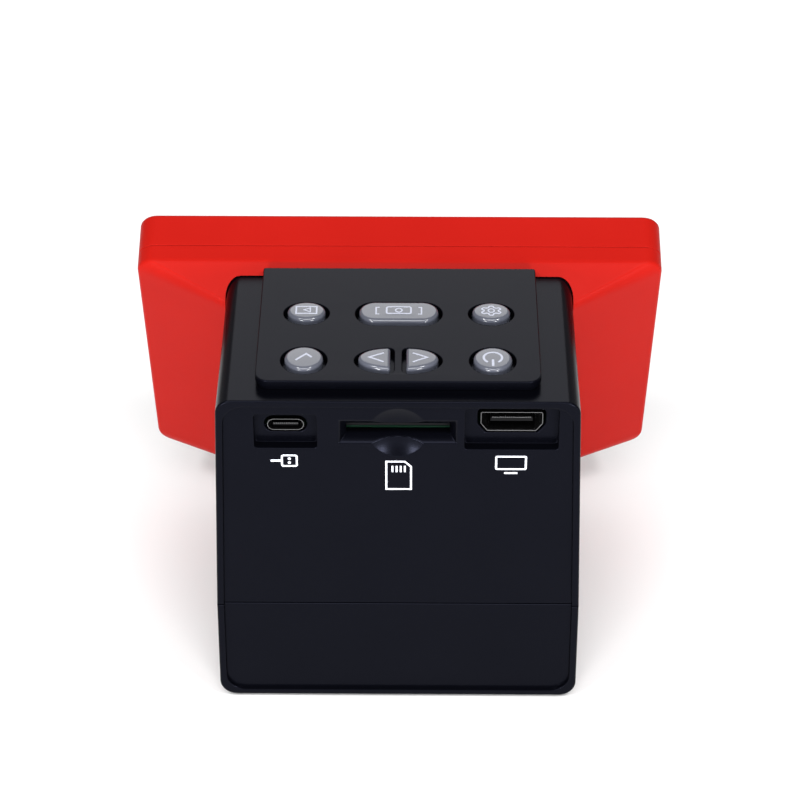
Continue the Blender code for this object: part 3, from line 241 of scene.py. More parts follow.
USB_HALF = (0.00445, 0.00165)
END_FLAT = 1e-5
USB_BAY = (0.0076, 0.0050, (-0.0271, 0.0838))
VIDEO_PORT = (0.0274, 0.0825)
VIDEO_HALF = 0.0075
VIDEO_FOOT_HALF = 0.0059
VIDEO_HEIGHTS = (0.0022, 0.0056)
VIDEO_CORNER = 0.0005
VIDEO_BAY = (0.01135, 0.00605, (0.0274, 0.08465))
CARD_FIELD = (0.0152, (0.0763, 0.0908))
CARD_LEAD = (0.0145, (0.0802, 0.0874))
CARD_SLOT = (0.0125, (0.0819, 0.0846))
CARD_DEPTH = 0.0026
CARD_PITCH = 0.00016
CARD_SOFT = 0.00006
DISH_MIDDLE = 0.0836
DISH_DEPTH = 0.0016
DISH_BALL = 0.0161

# The body's lines have 22 points. The first and last are the chamfer at the seam, the next are the wall's
# ends there, and each of the two corners between them has nine.
CORNER_POINTS = 9
CORNERS = ((2, 11), (11, 20))
WALLS = ((1, 2), (20, 19))
SHARP_ANGLE = math.radians(42)
WELD = 2e-6


def outline(corners, radii, grow=0.0, steps=CORNER_POINTS - 1):
    """A polygon with its corners turned on arcs, every side moved out by grow. Each arc's centre lies on
    its corner's bisector, and its points are the centre plus the radius times an evenly turning normal."""
    corners = np.asarray(corners, float)
    radii = np.broadcast_to(radii, len(corners)).astype(float)
    arriving = corners - np.roll(corners, 1, 0)
    leaving = np.roll(corners, -1, 0) - corners
    arriving /= np.linalg.norm(arriving, axis=1, keepdims=True)
    leaving /= np.linalg.norm(leaving, axis=1, keepdims=True)
    before = np.stack([arriving[:, 1], -arriving[:, 0]], 1)
    after = np.stack([leaving[:, 1], -leaving[:, 0]], 1)
    cross = arriving[:, 0] * leaving[:, 1] - arriving[:, 1] * leaving[:, 0]
    turn = np.arctan2(cross, (arriving * leaving).sum(1))
    side = np.where(turn >= 0, 1.0, -1.0)
    bend = side * np.maximum(radii + side * grow, 0.0)
    mitre = (before + after) / (1 + (before * after).sum(1))[:, None]
    centres = corners + (grow - bend)[:, None] * mitre
    start = np.arctan2(before[:, 1], before[:, 0])
    angle = start[:, None] + turn[:, None] * np.linspace(0, 1, steps + 1)
    normal = np.stack([np.cos(angle), np.sin(angle)], -1)
    return (centres[:, None] + bend[:, None, None] * normal).reshape(-1, 2)


def oblong(half_length, half_width, middle=(0, 0)):
    """The four corners of a rectangle, anticlockwise."""
    x, y = middle
    return [(x - half_length, y - half_width), (x + half_length, y - half_width),
            (x + half_length, y + half_width), (x - half_length, y + half_width)]


class Casting:
    """A piece in the making: patches of points and faces, welded where they meet."""

    def __init__(self):
        self.points = []
        self.faces = []
        self.count = 0

    def add(self, points, faces):
        """One patch: its points, and its faces as rows of their numbers."""
        self.points.append(np.asarray(points, float).reshape(-1, 3))
        self.faces.extend((np.asarray(faces) + self.count).tolist())
        self.count += len(self.points[-1])

    def net(self, points, closed=True, keep=None):
        """A grid of points, row by row, with a face in each cell, or only in the cells that keep marks.
        closed joins the last column to the first."""
        rows, columns = points.shape[:2]
        index = np.arange(rows * columns).reshape(rows, columns)
        if closed:
            index = np.hstack([index, index[:, :1]])
        cells = np.stack([index[:-1, :-1], index[:-1, 1:], index[1:, 1:], index[1:, :-1]], -1)
        self.add(points, cells.reshape(-1, 4) if keep is None else cells[keep])

    def flat(self, loops, lift):
        """A flat face between loops of (a, b) points, cut into triangles in millimetres. A triangle stays
        when a line from its middle crosses the loops an odd number of times. lift turns (a, b) into points
        in space."""
        scale = 1000.0
        corners = np.vstack(loops) * scale
        lengths = [len(loop) for loop in loops]
        ends = np.cumsum(lengths)
        following = np.arange(len(corners)) + 1
        following[ends - 1] = ends - lengths
        edges = np.stack([np.arange(len(corners)), following], 1)
        inside_only, tolerance = 1, 1e-5
        found = delaunay_2d_cdt([Vector(point) for point in corners], edges.tolist(), [],
                                inside_only, tolerance)
        places = np.array([point[:] for point in found[0]])
        triangles = np.array(found[2])
        middle = places[triangles].mean(1)
        start, end = corners[edges[:, 0]], corners[edges[:, 1]]
        spans = (start[:, 1] > middle[:, 1:]) != (end[:, 1] > middle[:, 1:])
        rise = np.where(end[:, 1] == start[:, 1], 1.0, end[:, 1] - start[:, 1])
        crossing = start[:, 0] + (middle[:, 1:] - start[:, 1]) / rise * (end[:, 0] - start[:, 0])
        inside = (spans & (crossing > middle[:, :1])).sum(1) % 2 == 1
        self.add(lift(places / scale), triangles[inside])

    def piece(self, name, material, body, *replaced):
        """Welds the patches into one object, turns its faces outwards and sets it on its body."""
        mesh = bpy.data.meshes.new(name)
        mesh.from_pydata(np.vstack(self.points), [], self.faces)
        build = bmesh.new()
        build.from_mesh(mesh)
        bmesh.ops.remove_doubles(build, verts=build.verts, dist=WELD)
        bmesh.ops.recalc_face_normals(build, faces=build.faces)
        build.to_mesh(mesh)
        build.free()
        mesh.shade_smooth()
        mesh.set_sharp_from_angle(angle=SHARP_ANGLE)
        mesh.materials.append(material)
        thing = bpy.data.objects.new(name, mesh)
        bpy.context.scene.collection.objects.link(thing)
        weighted = thing.modifiers.new("even_faces", "WEIGHTED_NORMAL")
        weighted.keep_sharp = True
        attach(thing, body)
        if replaced:
            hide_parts(*replaced)
        return thing


def on_body(x, y, z):
    """Points of the body's own frame: its back face is at y = 0 and its underside at z = 0."""
    return np.stack(np.broadcast_arrays(x, BACK + y, STANDING + z), -1)


def half_width(z):
    """Half the body's width at height z: straight from the base to the seam and from there to the top."""
    return np.interp(z, [0, SEAM, BODY_HEIGHT], [HALF_BASE, HALF_SEAM, HALF_TOP])


def slant(z):
    """How far the body reaches into the display at height z: a straight line that leans like the screen."""
    return SLANT_START[0] + (SLANT_START[1] - z) * SLANT


def round_over(radius, steps=4):
    """A quarter round as (offset, depth) pairs: from the face, offset outwards, down into the wall."""
    angle = np.linspace(0, math.pi / 2, steps + 1)
    return np.stack([radius * (1 - np.sin(angle)), radius * (1 - np.cos(angle))], 1)


def body_line(inset, radii, depth, upper, slip=(0.0, 0.0)):
    """The body's cross-section drawn in by inset, as an open line from seam to seam over the top or round
    the base. Its two ends turn in along slip, which leaves a fine chamfer at the seam. radii are those of
    the corners at the top and at the base."""
    corners = [(-HALF_BASE, 0), (HALF_BASE, 0), (HALF_SEAM, SEAM), (HALF_TOP, BODY_HEIGHT),
               (-HALF_TOP, BODY_HEIGHT), (-HALF_SEAM, SEAM)]
    head, foot = radii[0] + inset, radii[1] + inset
    loop = outline(corners, [foot, foot, 0, head, head, 0], -inset)
    side = 1 if upper else -1
    middle = loop[3 * CORNER_POINTS:5 * CORNER_POINTS] if upper else loop[:2 * CORNER_POINTS]
    edge = SEAM + side * SEAM_HALF_GAP
    near = edge + side * SEAM_CHAMFER
    x = half_width(near) - inset
    turned = half_width(edge) - inset - slip[0]
    line = np.vstack([[(side * turned, edge), (side * x, near)], middle,
                      [(-side * x, near), (-side * turned, edge)]])
    y = np.full(len(line), depth)
    y[[0, -1]] += slip[1]
    return on_body(line[:, 0], y, line[:, 1])


def back_rows(upper):
    """Lines from the side wall over the rounded back edge, across the rim and down the step to the panel.
    Each line's ends slip along the normal of that profile, turned by its run."""
    turn = round_over(BACK_ROUND, 5)[::-1]
    step_insets, step_depths, step_radii = np.array(PANEL_STEP).T
    insets = np.hstack([turn[:, 0], step_insets])
    depths = np.hstack([turn[:, 1], step_depths])
    heads = np.hstack([TOP_RADIUS - turn[:, 0], step_radii])
    feet = np.hstack([BASE_RADIUS - turn[:, 0], step_radii])
    run = np.gradient(np.stack([insets, depths], 1), axis=0)
    run /= np.linalg.norm(run, axis=1, keepdims=True)
    run[0], run[-1] = (0, -1), (1, 0)
    slips = np.stack([-run[:, 1], run[:, 0]], 1) * SEAM_CHAMFER
    return np.stack([body_line(inset, (head, foot), depth, upper, slip)
                     for inset, head, foot, depth, slip in zip(insets, heads, feet, depths, slips)])


def between(low, high):
    """A wall through two points: its x at any height, in the body's frame."""
    slope = (high[0] - low[0]) / (high[2] - low[2])
    return lambda z: low[0] + (z - (low[2] - STANDING)) * slope


def flat_back(depth):
    """Lifts (x, z) points onto a plane that deep behind the back face."""
    return lambda flat: on_body(flat[:, 0], depth, flat[:, 1])


def level(height):
    """Lifts (x, y) points to that height over the body's underside."""
    return lambda flat: on_body(flat[:, 0], flat[:, 1], height)


def yz(points):
    """Points in space as (y, z) in the body's frame."""
    return points[:, 1:] - (BACK, STANDING)


def xz(points):
    """Points in space as (x, z) in the body's frame."""
    return points[:, ::2] - (0, STANDING)


def xy(points):
    """Points in space as (x, y) in the body's frame."""
    return points[:, :2] - (0, BACK)


def film_slot(grow):
    """The slot's outline in a side wall, as (y, z)."""
    (near, far), (low, high) = FILM_SLOT
    middle = ((near + far) / 2, (low + high) / 2)
    return outline(oblong((far - near) / 2, (high - low) / 2, middle), FILM_SLOT_CORNER, grow, 5)


def keypad_opening(grow):
    """The opening's outline in the roof, as (x, y)."""
    half, near, far = KEYPAD_OPENING
    return outline(oblong(half, (far - near) / 2, (0, (near + far) / 2)), KEYPAD_OPENING_CORNER, grow, 4)


def usb_hole(grow):
    """An oblong with half-round ends, wider than the small socket by a gap."""
    return outline(oblong(*USB_HALF, USB_PORT), USB_HALF[1] - END_FLAT, grow + HOLE_GROWTH, 12)


def video_outline(grow):
    """The video socket: a wide oblong whose lower corners are cut in to a narrower foot."""
    x, low = VIDEO_PORT
    cut, high = low + VIDEO_HEIGHTS[0], low + VIDEO_HEIGHTS[1]
    corners = [(x - VIDEO_FOOT_HALF, low), (x + VIDEO_FOOT_HALF, low), (x + VIDEO_HALF, cut),
               (x + VIDEO_HALF, high), (x - VIDEO_HALF, high), (x - VIDEO_HALF, cut)]
    return outline(corners, VIDEO_CORNER, grow, 4)


def video_hole(grow):
    """The video socket's outline, wider by a gap."""
    return video_outline(grow + HOLE_GROWTH)


def port_recess(shell, edge, hole):
    """A sunk bay in the panel: rounded rim, walls with a soft foot, and a floor with the socket's hole, whose
    own rim is rounded too. Returns its outline on the panel."""
    rows = [flat_back(PANEL_DEPTH + sink)(edge(grow)) for grow, sink in round_over(RECESS_ROUND)]
    rows += [flat_back(RECESS_FLOOR - grow)(edge(-sink)) for grow, sink in round_over(RECESS_FOOT)]
    shell.net(np.stack(rows))
    shell.flat([edge(-RECESS_FOOT), hole(PORT_HOLE_ROUND)], flat_back(RECESS_FLOOR))
    rows = [flat_back(RECESS_FLOOR + sink)(hole(grow)) for grow, sink in round_over(PORT_HOLE_ROUND)]
    rows += [flat_back(PORT_WALL)(hole(0))]
    shell.net(np.stack(rows))
    return edge(RECESS_ROUND)


def card_slot(shell):
    """The card slot's lead-in and its finger dish, as one height field. Depth is the larger of a shallow
    bowl, its depth less the squared distance over twice the ball's radius, and a funnel, which goes with
    the least of the planes from its four sides to the slot, raised to one and a half. Returns the field's
    outline on the panel and the slot's."""
    field_half, (field_low, field_high) = CARD_FIELD
    lead_half, (lead_low, lead_high) = CARD_LEAD
    slot_half, (slot_low, slot_high) = CARD_SLOT

    def ticks(*stops):
        """Places from stop to stop, each run in even steps no longer than the pitch."""
        runs = [np.linspace(start, end, int((end - start) / CARD_PITCH) + 2)
                for start, end in zip(stops, stops[1:])]
        return np.unique(np.round(np.hstack(runs), 8))

    x = ticks(-field_half, -lead_half, -slot_half, slot_half, lead_half, field_half)
    z = ticks(field_low, lead_low, slot_low, slot_high, lead_high, field_high)
    x, z = np.meshgrid(x, z)
    bowl = DISH_DEPTH - (x ** 2 + (z - DISH_MIDDLE) ** 2) / (2 * DISH_BALL)
    planes = np.stack([(z - lead_low) / (slot_low - lead_low), (lead_high - z) / (lead_high - slot_high),
                       (lead_half - np.abs(x)) / (lead_half - slot_half), np.ones_like(x)])
    funnel = CARD_DEPTH * np.clip(planes.min(0), 0, 1) ** 1.5
    deepest = np.maximum(bowl, funnel)
    depth = (deepest + np.sqrt(deepest ** 2 + CARD_SOFT ** 2)) / 2 - CARD_SOFT / 2
    depth[[0, -1]] = 0
    depth[:, [0, -1]] = 0
    hair = 1e-7
    open_slot = (np.abs(x) <= slot_half + hair) & (z >= slot_low - hair) & (z <= slot_high + hair)
    depth[open_slot] = CARD_DEPTH
    inside = open_slot[:-1, :-1] & open_slot[1:, 1:] & open_slot[:-1, 1:] & open_slot[1:, :-1]
    points = on_body(x, PANEL_DEPTH + depth, z)
    shell.net(points, closed=False, keep=~inside)
    rows, columns = np.nonzero(open_slot)
    part = points[rows.min():rows.max() + 1, columns.min():columns.max() + 1]

    def border(grid):
        """The points round a grid, as one loop."""
        return np.vstack([grid[0, :-1], grid[:-1, -1], grid[-1, :0:-1], grid[:0:-1, 0]])

    bore = border(part)
    back = bore.copy()
    back[:, 1] = BACK + PORT_WALL
    shell.net(np.stack([bore, back]))
    return xz(border(points)), xz(bore)


def upper_housing():
    """Outer skin, inner skin and what joins them: the seam edge, the slot's and the opening's walls, the
    port wall and the front end."""
    shell = Casting()
    back = back_rows(True)
    front = back[0].copy()
    front[:, 1] = BACK + slant(front[:, 2] - STANDING)
    depth = HOUSING_WALL + PANEL_DEPTH
    inner = body_line(HOUSING_WALL, (INNER_CORNER, INNER_CORNER), depth, True)
    inner_front = inner.copy()
    inner_front[:, 1] = BACK + slant(inner[:, 2] - STANDING)
    shell.net(back, closed=False)
    shell.net(np.stack([front, inner_front]), closed=False)
    for first, last in ((0, 2), *CORNERS, (20, 22)):
        shell.net(np.stack([back[0, first:last], front[first:last]]), closed=False)
        shell.net(np.stack([inner[first:last], inner_front[first:last]]), closed=False)
    lip = round_over(FILM_SLOT_ROUND)
    for side, (low, high) in zip((1, -1), WALLS):
        outer_x = between(back[0, low], back[0, high])
        inner_x = between(inner[low], inner[high])

        def rounded(sink, outer_x=outer_x, side=side):
            """Lifts (y, z) points onto the outer wall, sunk into it by sink."""
            return lambda flat: on_body(outer_x(flat[:, 1]) - side * sink, flat[:, 0], flat[:, 1])

        def inward(flat, inner_x=inner_x):
            """The same points on the inner wall."""
            return on_body(inner_x(flat[:, 1]), flat[:, 0], flat[:, 1])

        wall = np.stack([back[0, low], front[low], front[high], back[0, high]])
        shell.flat([yz(wall), film_slot(lip[0, 0])], rounded(0))
        wall = np.stack([inner[low], inner_front[low], inner_front[high], inner[high]])
        shell.flat([yz(wall), film_slot(0)], inward)
        shell.net(np.stack([rounded(sink)(film_slot(grow)) for grow, sink in lip] + [inward(film_slot(0))]))

    roof = np.stack([back[0, 10], front[10], front[11], back[0, 11]])
    shell.flat([xy(roof), keypad_opening(0)], level(BODY_HEIGHT))
    under = BODY_HEIGHT - HOUSING_WALL
    notch = [(-PORT_WALL_HALF, depth), (-PORT_WALL_HALF, PORT_WALL),
             (PORT_WALL_HALF, PORT_WALL), (PORT_WALL_HALF, depth)]
    ceiling = np.vstack([xy(np.stack([inner[10], inner_front[10], inner_front[11], inner[11]])), notch])
    shell.flat([ceiling, keypad_opening(0)], level(under))
    shell.net(np.stack([level(height)(keypad_opening(0)) for height in (BODY_HEIGHT, under)]))

    def bay(size):
        """A bay's outline on the panel, as a function of grow."""
        return lambda grow: outline(oblong(*size), RECESS_RADIUS, grow)

    loops = [port_recess(shell, bay(USB_BAY), usb_hole), port_recess(shell, bay(VIDEO_BAY), video_hole)]
    card_edge, card_bore = card_slot(shell)
    shell.flat([xz(back[-1, 1:21]), card_edge, *loops], flat_back(PANEL_DEPTH))
    shell.add(back[-1, [1, 0, 21, 20]], [(0, 1, 2, 3)])
    step = np.array([(PORT_WALL_HALF, under), (PORT_WALL_HALF, PORT_WALL_LOW),
                     (-PORT_WALL_HALF, PORT_WALL_LOW), (-PORT_WALL_HALF, under)])
    shell.flat([np.vstack([xz(inner[:11]), step, xz(inner[11:])])], flat_back(depth))
    shell.flat([step, usb_hole(0), video_hole(0), card_bore], flat_back(PORT_WALL))
    shell.net(np.stack([flat_back(depth)(step), flat_back(PORT_WALL)(step)]), closed=False)
    outer_edge = np.vstack([xy(front[:1]), xy(back[:, 0]), xy(back[::-1, 21]), xy(front[21:])])
    inner_edge = xy(np.stack([inner_front[21], inner[21], inner[0], inner_front[0]]))
    shell.flat([np.vstack([outer_edge, inner_edge])], level(SEAM + SEAM_HALF_GAP))
    return shell


black = moulded("body_black", (0.0011, 0.0012, 0.0022), (0.0015, 0.0016, 0.0028), roughness=0.24, spread=0.08,
                pitch=0.0004, depth=0.000005, Specular_IOR_Level=0.075, Specular_Tint=(0.62, 0.67, 1.0, 1.0))
upper_piece = upper_housing().piece("upper_shell", black, "scanner", "upper_housing")


# Base housing: the black tray below the seam, one moulding with the toe that reaches under the display.
# Bores for the two screws run up through its posts, and four feet sit in round recesses.
TOE_FRONT = 0.0800
TOE_TOP = 0.0183
TOE_CHAMFER = 0.0030
BOSS = (0.0375, 0.0673)
POST_RADIUS = 0.0037
HEAD_BORE = (0.0030, 0.0240)
SHANK_RADIUS = 0.0017
FEET = ((-0.0360, 0.0100), (0.0360, 0.0100), (-0.0238, 0.0700), (0.0238, 0.0700))
FOOT_RADIUS = 0.0050
FOOT_RECESS = 0.0012
HOLLOW = (0.0432, 0.03405, (0, 0.03725))
HOLLOW_CORNER = 0.002
FIT_GAP = 0.0003


def circle(radius, middle=(0, 0), steps=48):
    """A circle of points, anticlockwise."""
    angle = np.arange(steps) / steps * 2 * math.pi
    return middle + radius * np.stack([np.cos(angle), np.sin(angle)], 1)


def base_housing():
    """Outer skin with the toe, the seam's edge, the hollow, and the posts that rise from its floor."""
    tray = Casting()
    back = back_rows(False)
    tray.net(back, closed=False)
    front = back[0].copy()
    front[:, 1] = BACK + TOE_FRONT
    for first, last in CORNERS:
        tray.net(np.stack([back[0, first:last], front[first:last]]), closed=False)
    knee = slant(TOE_TOP)
    for chamfer, (low, high) in zip((0, 21), WALLS):
        wall = between(back[0, high], back[0, low])
        top = back[0, low, 2] - STANDING
        foot = back[0, high, 2] - STANDING
        path = np.array([(BACK_ROUND, top), (slant(top), top), (knee, TOE_TOP),
                         (TOE_FRONT - TOE_CHAMFER, TOE_TOP), (TOE_FRONT, TOE_TOP - TOE_CHAMFER),
                         (TOE_FRONT, foot), (BACK_ROUND, foot)])
        tray.flat([path], lambda flat, wall=wall: on_body(wall(flat[:, 1]), flat[:, 0], flat[:, 1]))
        edge = back[0, chamfer].copy()
        edge[1] = BACK + slant(edge[2] - STANDING)
        inner_end = on_body(wall(top), slant(top), top)
        tray.add(np.stack([back[0, chamfer], edge, inner_end, back[0, low]]), [(0, 1, 2, 3)])
    wall = between(back[0, 19], back[0, 20])
    top = back[0, 20, 2] - STANDING
    z = np.array([top, TOE_TOP, TOE_TOP, TOE_TOP - TOE_CHAMFER, back[0, 19, 2] - STANDING])
    y = np.array([slant(top), knee, TOE_FRONT - TOE_CHAMFER, TOE_FRONT, TOE_FRONT])
    tray.net(np.stack([on_body(-wall(z), y, z), on_body(wall(z), y, z)]), closed=False)
    lip = back[0, [0, 21]].copy()
    lip[:, 1] = BACK + slant(lip[:, 2] - STANDING)
    tray.add(np.vstack([lip, on_body(wall(z[:1]) * np.array([1, -1]), y[0], z[0])]), [(0, 1, 2, 3)])
    tray.flat([xz(front[2:20])], flat_back(TOE_FRONT))

    def posts(radius):
        """The two screw posts, as circles of that radius."""
        return [circle(radius, (side * BOSS[0], BOSS[1])) for side in (-1, 1)]

    sockets = [circle(FOOT_RADIUS + FIT_GAP, place) for place in FEET]
    under = xy(np.stack([back[0, 10], front[10], front[11], back[0, 11]]))
    tray.flat([under, *sockets, *posts(HEAD_BORE[0])], level(0))
    for socket in sockets:
        tray.net(np.stack([level(height)(socket) for height in (0, FOOT_RECESS)]))
        tray.flat([socket], level(FOOT_RECESS))
    hollow = outline(oblong(*HOLLOW), HOLLOW_CORNER)
    brim = SEAM - SEAM_HALF_GAP
    edge = np.vstack([xy(lip[:1]), xy(back[:, 0]), xy(back[::-1, 21]), xy(lip[1:])])
    tray.flat([edge, hollow], level(brim))
    tray.net(np.stack([level(height)(hollow) for height in (brim, HOUSING_WALL)]))
    tray.flat([hollow, *posts(POST_RADIUS)], level(HOUSING_WALL))
    profile = ((HEAD_BORE[0], 0), HEAD_BORE, (SHANK_RADIUS, HEAD_BORE[1]), (SHANK_RADIUS, brim),
               (POST_RADIUS, brim), (POST_RADIUS, HOUSING_WALL))
    for side in (0, 1):
        tray.net(np.stack([level(height)(posts(radius)[side]) for radius, height in profile]))
    tray.flat([xz(back[-1, 1:21])], flat_back(PANEL_DEPTH))
    tray.add(back[-1, [1, 0, 21, 20]], [(0, 1, 2, 3)])
    return tray


base_piece = base_housing().piece("base_tray", black, "scanner", "base_housing")


# Display back shell: one red moulding, a band round the rim and a shallow four-sided funnel that stops on
# the black body, which passes through it. It meets the front frame on a fine parting line.
DISPLAY_WIDTH = 0.1339
DISPLAY_HEIGHT = 0.0814
RIM_RADIUS = 0.0047
LEAN = math.radians(19.2)
DISPLAY_Y = 0.0214315
DISPLAY_Z = 0.0588
BAND = 0.0048
SHELL_WALL = 0.0020
RIM_ROUND = 0.0009
RIM_INSIDE = 0.55
LINE_PITCH = 0.0008
NECK_DEPTH = 0.0105
NECK_INSETS = (0.0038, 0.0047)
NECK_RADIUS = 0.0022
PART_LINE = 0.00018


def leaning(x, y, z):
    """Points of the display's own frame, turned back by its lean about X and moved to its place."""
    return np.stack(np.broadcast_arrays(x, DISPLAY_Y + y * math.cos(LEAN) - z * math.sin(LEAN),
                                        DISPLAY_Z + y * math.sin(LEAN) + z * math.cos(LEAN)), -1)


def rim(grow, y, steps=8):
    """The display's outline at depth y, moved out by grow."""
    flat = outline(oblong(DISPLAY_WIDTH / 2, DISPLAY_HEIGHT / 2), RIM_RADIUS, grow, steps)
    return leaning(flat[:, 0], y, flat[:, 1])


def inside_body(points, gap):
    """How far points stick out of the body's cross-section, grown by gap: below zero is inside. It is the
    larger of the ways past the side and past the roof, and past the arc where both are near."""
    x, z = np.abs(points[..., 0]), points[..., 2]
    out_x = x - half_width(z - STANDING) - gap
    out_z = z - STANDING - BODY_HEIGHT - gap
    arc_x, arc_z = np.maximum(out_x + TOP_RADIUS, 0), np.maximum(out_z + TOP_RADIUS, 0)
    near_corner = (out_x > -TOP_RADIUS) & (out_z > -TOP_RADIUS)
    return np.where(near_corner, np.hypot(arc_x, arc_z) - TOP_RADIUS, np.maximum(out_x, out_z))


def stopped(start, end, gap):
    """Where the straight lines from start to end enter the body, found by halving."""
    low, high = np.zeros(len(start)), np.ones(len(start))
    for _ in range(24):
        half = (low + high) / 2
        outside = inside_body(start + half[:, None] * (end - start), gap) > 0
        low, high = np.where(outside, half, low), np.where(outside, high, half)
    return start + low[:, None] * (end - start)


def neck(y, wall, steps=8):
    """The funnel's outline at depth y: its four sides draw in evenly from the rim to the body. For the inner
    skin each side moves in by the wall times the length of its slope."""
    share = -y / NECK_DEPTH
    foot, head = (-DISPLAY_HEIGHT / 2 + NECK_INSETS[0], DISPLAY_HEIGHT / 2 - NECK_INSETS[1])
    foot_half, head_half = half_width(leaning(0, -NECK_DEPTH, np.array([foot, head]))[:, 2] - STANDING)
    wide = DISPLAY_WIDTH / 2
    draws = np.array([*NECK_INSETS, wide - foot_half, wide - head_half])
    slope = np.hypot(1, draws / NECK_DEPTH)
    low = -DISPLAY_HEIGHT / 2 + NECK_INSETS[0] * share + wall * slope[0]
    high = DISPLAY_HEIGHT / 2 - NECK_INSETS[1] * share - wall * slope[1]
    foot_x = wide - (wide - foot_half) * share - wall * slope[2]
    head_x = wide - (wide - head_half) * share - wall * slope[3]
    flat = outline([(-foot_x, low), (foot_x, low), (head_x, high), (-head_x, high)], NECK_RADIUS, 0, steps)
    return leaning(flat[:, 0], y, flat[:, 1])


def ticks_along(loop, pitch):
    """Places along a closed loop, a corner's number plus the share of the way to the next one, close enough
    that no step is longer than pitch."""
    lengths = np.linalg.norm(np.roll(loop, -1, 0) - loop, axis=1)
    counts = np.maximum(1, np.ceil(lengths / pitch)).astype(int)
    step = np.arange(counts.sum()) - np.repeat(np.cumsum(counts) - counts, counts)
    return np.repeat(np.arange(len(loop)), counts) + step / np.repeat(counts, counts)


def filled(loop, ticks):
    """The points of a closed loop at those places, each on the straight line between its two corners."""
    start = ticks.astype(int)
    share = (ticks - start)[:, None]
    return loop[start] * (1 - share) + loop[(start + 1) % len(loop)] * share


def display_back():
    """Rings from the parting line over the rim and down the funnel, then back inside by the wall. Each
    funnel line runs straight from its point on the rim to the neck and stops on the body. The rim's turn
    is a Bezier curve of three points: the side, the corner and the start of the funnel line."""
    fine = ticks_along(rim(0, 0), LINE_PITCH)
    edge = filled(rim(0, 0), fine)
    throat = filled(neck(-NECK_DEPTH, 0), fine)
    run = throat - edge
    run /= np.linalg.norm(run, axis=1, keepdims=True)
    side = filled(rim(0, RIM_ROUND), fine)
    down = edge + run * RIM_ROUND
    share = np.linspace(0, 1, 7)[:, None, None]
    turn = (1 - share) ** 2 * side + 2 * share * (1 - share) * edge + share ** 2 * down
    past = 1.25
    landing = stopped(down, edge + (throat - edge) * past, FIT_GAP)
    inner_edge = filled(rim(-SHELL_WALL, SHELL_WALL * RIM_INSIDE), fine)
    inner_throat = filled(neck(-NECK_DEPTH + SHELL_WALL, SHELL_WALL), fine)
    inner_landing = stopped(inner_edge, inner_edge + (inner_throat - inner_edge) * past, FIT_GAP)
    shell = Casting()
    seam = filled(rim(-PART_LINE, BAND), fine)
    rings = [seam, filled(rim(0, BAND - PART_LINE), fine), *turn, landing,
             inner_landing, inner_edge, filled(rim(-SHELL_WALL, BAND), fine), seam]
    shell.net(np.stack(rings))
    return shell


red = moulded("display_red", (0.365, 0.0065, 0.0035), (0.395, 0.0080, 0.0045), roughness=0.42, spread=0.15,
              pitch=0.0005, depth=0.000005, Specular_IOR_Level=0.05)
shell_piece = display_back().piece("display_shell", red, "scanner", "display_back_shell")


# Display front frame: the red rim's front half, one moulding with a sunk seat for the window round its
# opening. A lip inside it reaches into the back shell and hides the gap of the parting line.
FRAME_FRONT = 0.0149
FRAME_ROUND = 0.00095
WINDOW_HALF = (0.0635, 0.03725)
WINDOW_RADIUS = 0.0030
WINDOW_SEAT = 0.0134
VIEW_HALF = (0.0560, 0.0320)
VIEW_RADIUS = 0.0012
FRAME_BACK = 0.0117
LIP_END = 0.0033
LIP_INSETS = (0.0022, 0.0030)
FRAME_START = BAND + 0.00006
SEAT_ROUND = 0.0002


def quarter(radius, steps=4):
    """A quarter round as (offset, height) pairs, from flat on top to upright at the side."""
    angle = np.linspace(0, math.pi / 2, steps + 1)
    return np.stack([radius * (np.sin(angle) - 1), radius * (np.cos(angle) - 1)], 1)


def display_front():
    """Rings from the parting line over the front edge, down into the window seat and back inside to the lip
    that reaches into the back shell."""
    def window(grow, y):
        """The window's outline at depth y, moved out by grow."""
        flat = outline(oblong(*WINDOW_HALF), WINDOW_RADIUS, grow)
        return leaning(flat[:, 0], y, flat[:, 1])

    def view(y):
        """The opening's outline at depth y."""
        flat = outline(oblong(*VIEW_HALF), VIEW_RADIUS)
        return leaning(flat[:, 0], y, flat[:, 1])

    rings = [rim(-PART_LINE, FRAME_START), rim(0, FRAME_START + PART_LINE)]
    rings += [rim(offset, FRAME_FRONT + height) for offset, height in quarter(FRAME_ROUND)[::-1]]
    rings += [window(FIT_GAP - offset, FRAME_FRONT + height) for offset, height in quarter(SEAT_ROUND, 2)]
    rings += [window(FIT_GAP, WINDOW_SEAT), view(WINDOW_SEAT), view(FRAME_BACK),
              rim(-LIP_INSETS[1], FRAME_BACK), rim(-LIP_INSETS[1], LIP_END), rim(-LIP_INSETS[0], LIP_END),
              rim(-LIP_INSETS[0], FRAME_START), rim(-PART_LINE, FRAME_START)]
    shell = Casting()
    shell.net(np.stack(rings))
    return shell


rim_piece = display_front().piece("display_rim", red, "scanner", "display_front_frame")


# Screen window: a flat pane in the frame's seat, black glass with a fine ground edge. Behind it the panel's
# picture area shows as a slightly bluer dark field inside the printed border.
PANE_BACK = 0.0137
PANE_FRONT = 0.0149
PANE_GROUND = (0.00015, 0.0002)


def screen_pane():
    """The pane's outline, drawn in behind and in front by the ground edges."""
    pane = Casting()
    behind, before = PANE_GROUND
    rows = [(behind, PANE_BACK), (0, PANE_BACK + behind), (0, PANE_FRONT - before), (before, PANE_FRONT)]
    loops = [(outline(oblong(*WINDOW_HALF), WINDOW_RADIUS, -inset), depth) for inset, depth in rows]
    pane.net(np.stack([leaning(loop[:, 0], depth, loop[:, 1]) for loop, depth in loops]))
    for loop, depth in (loops[0], loops[-1]):
        pane.flat([loop], lambda flat, depth=depth: leaning(flat[:, 0], depth, flat[:, 1]))
    return pane


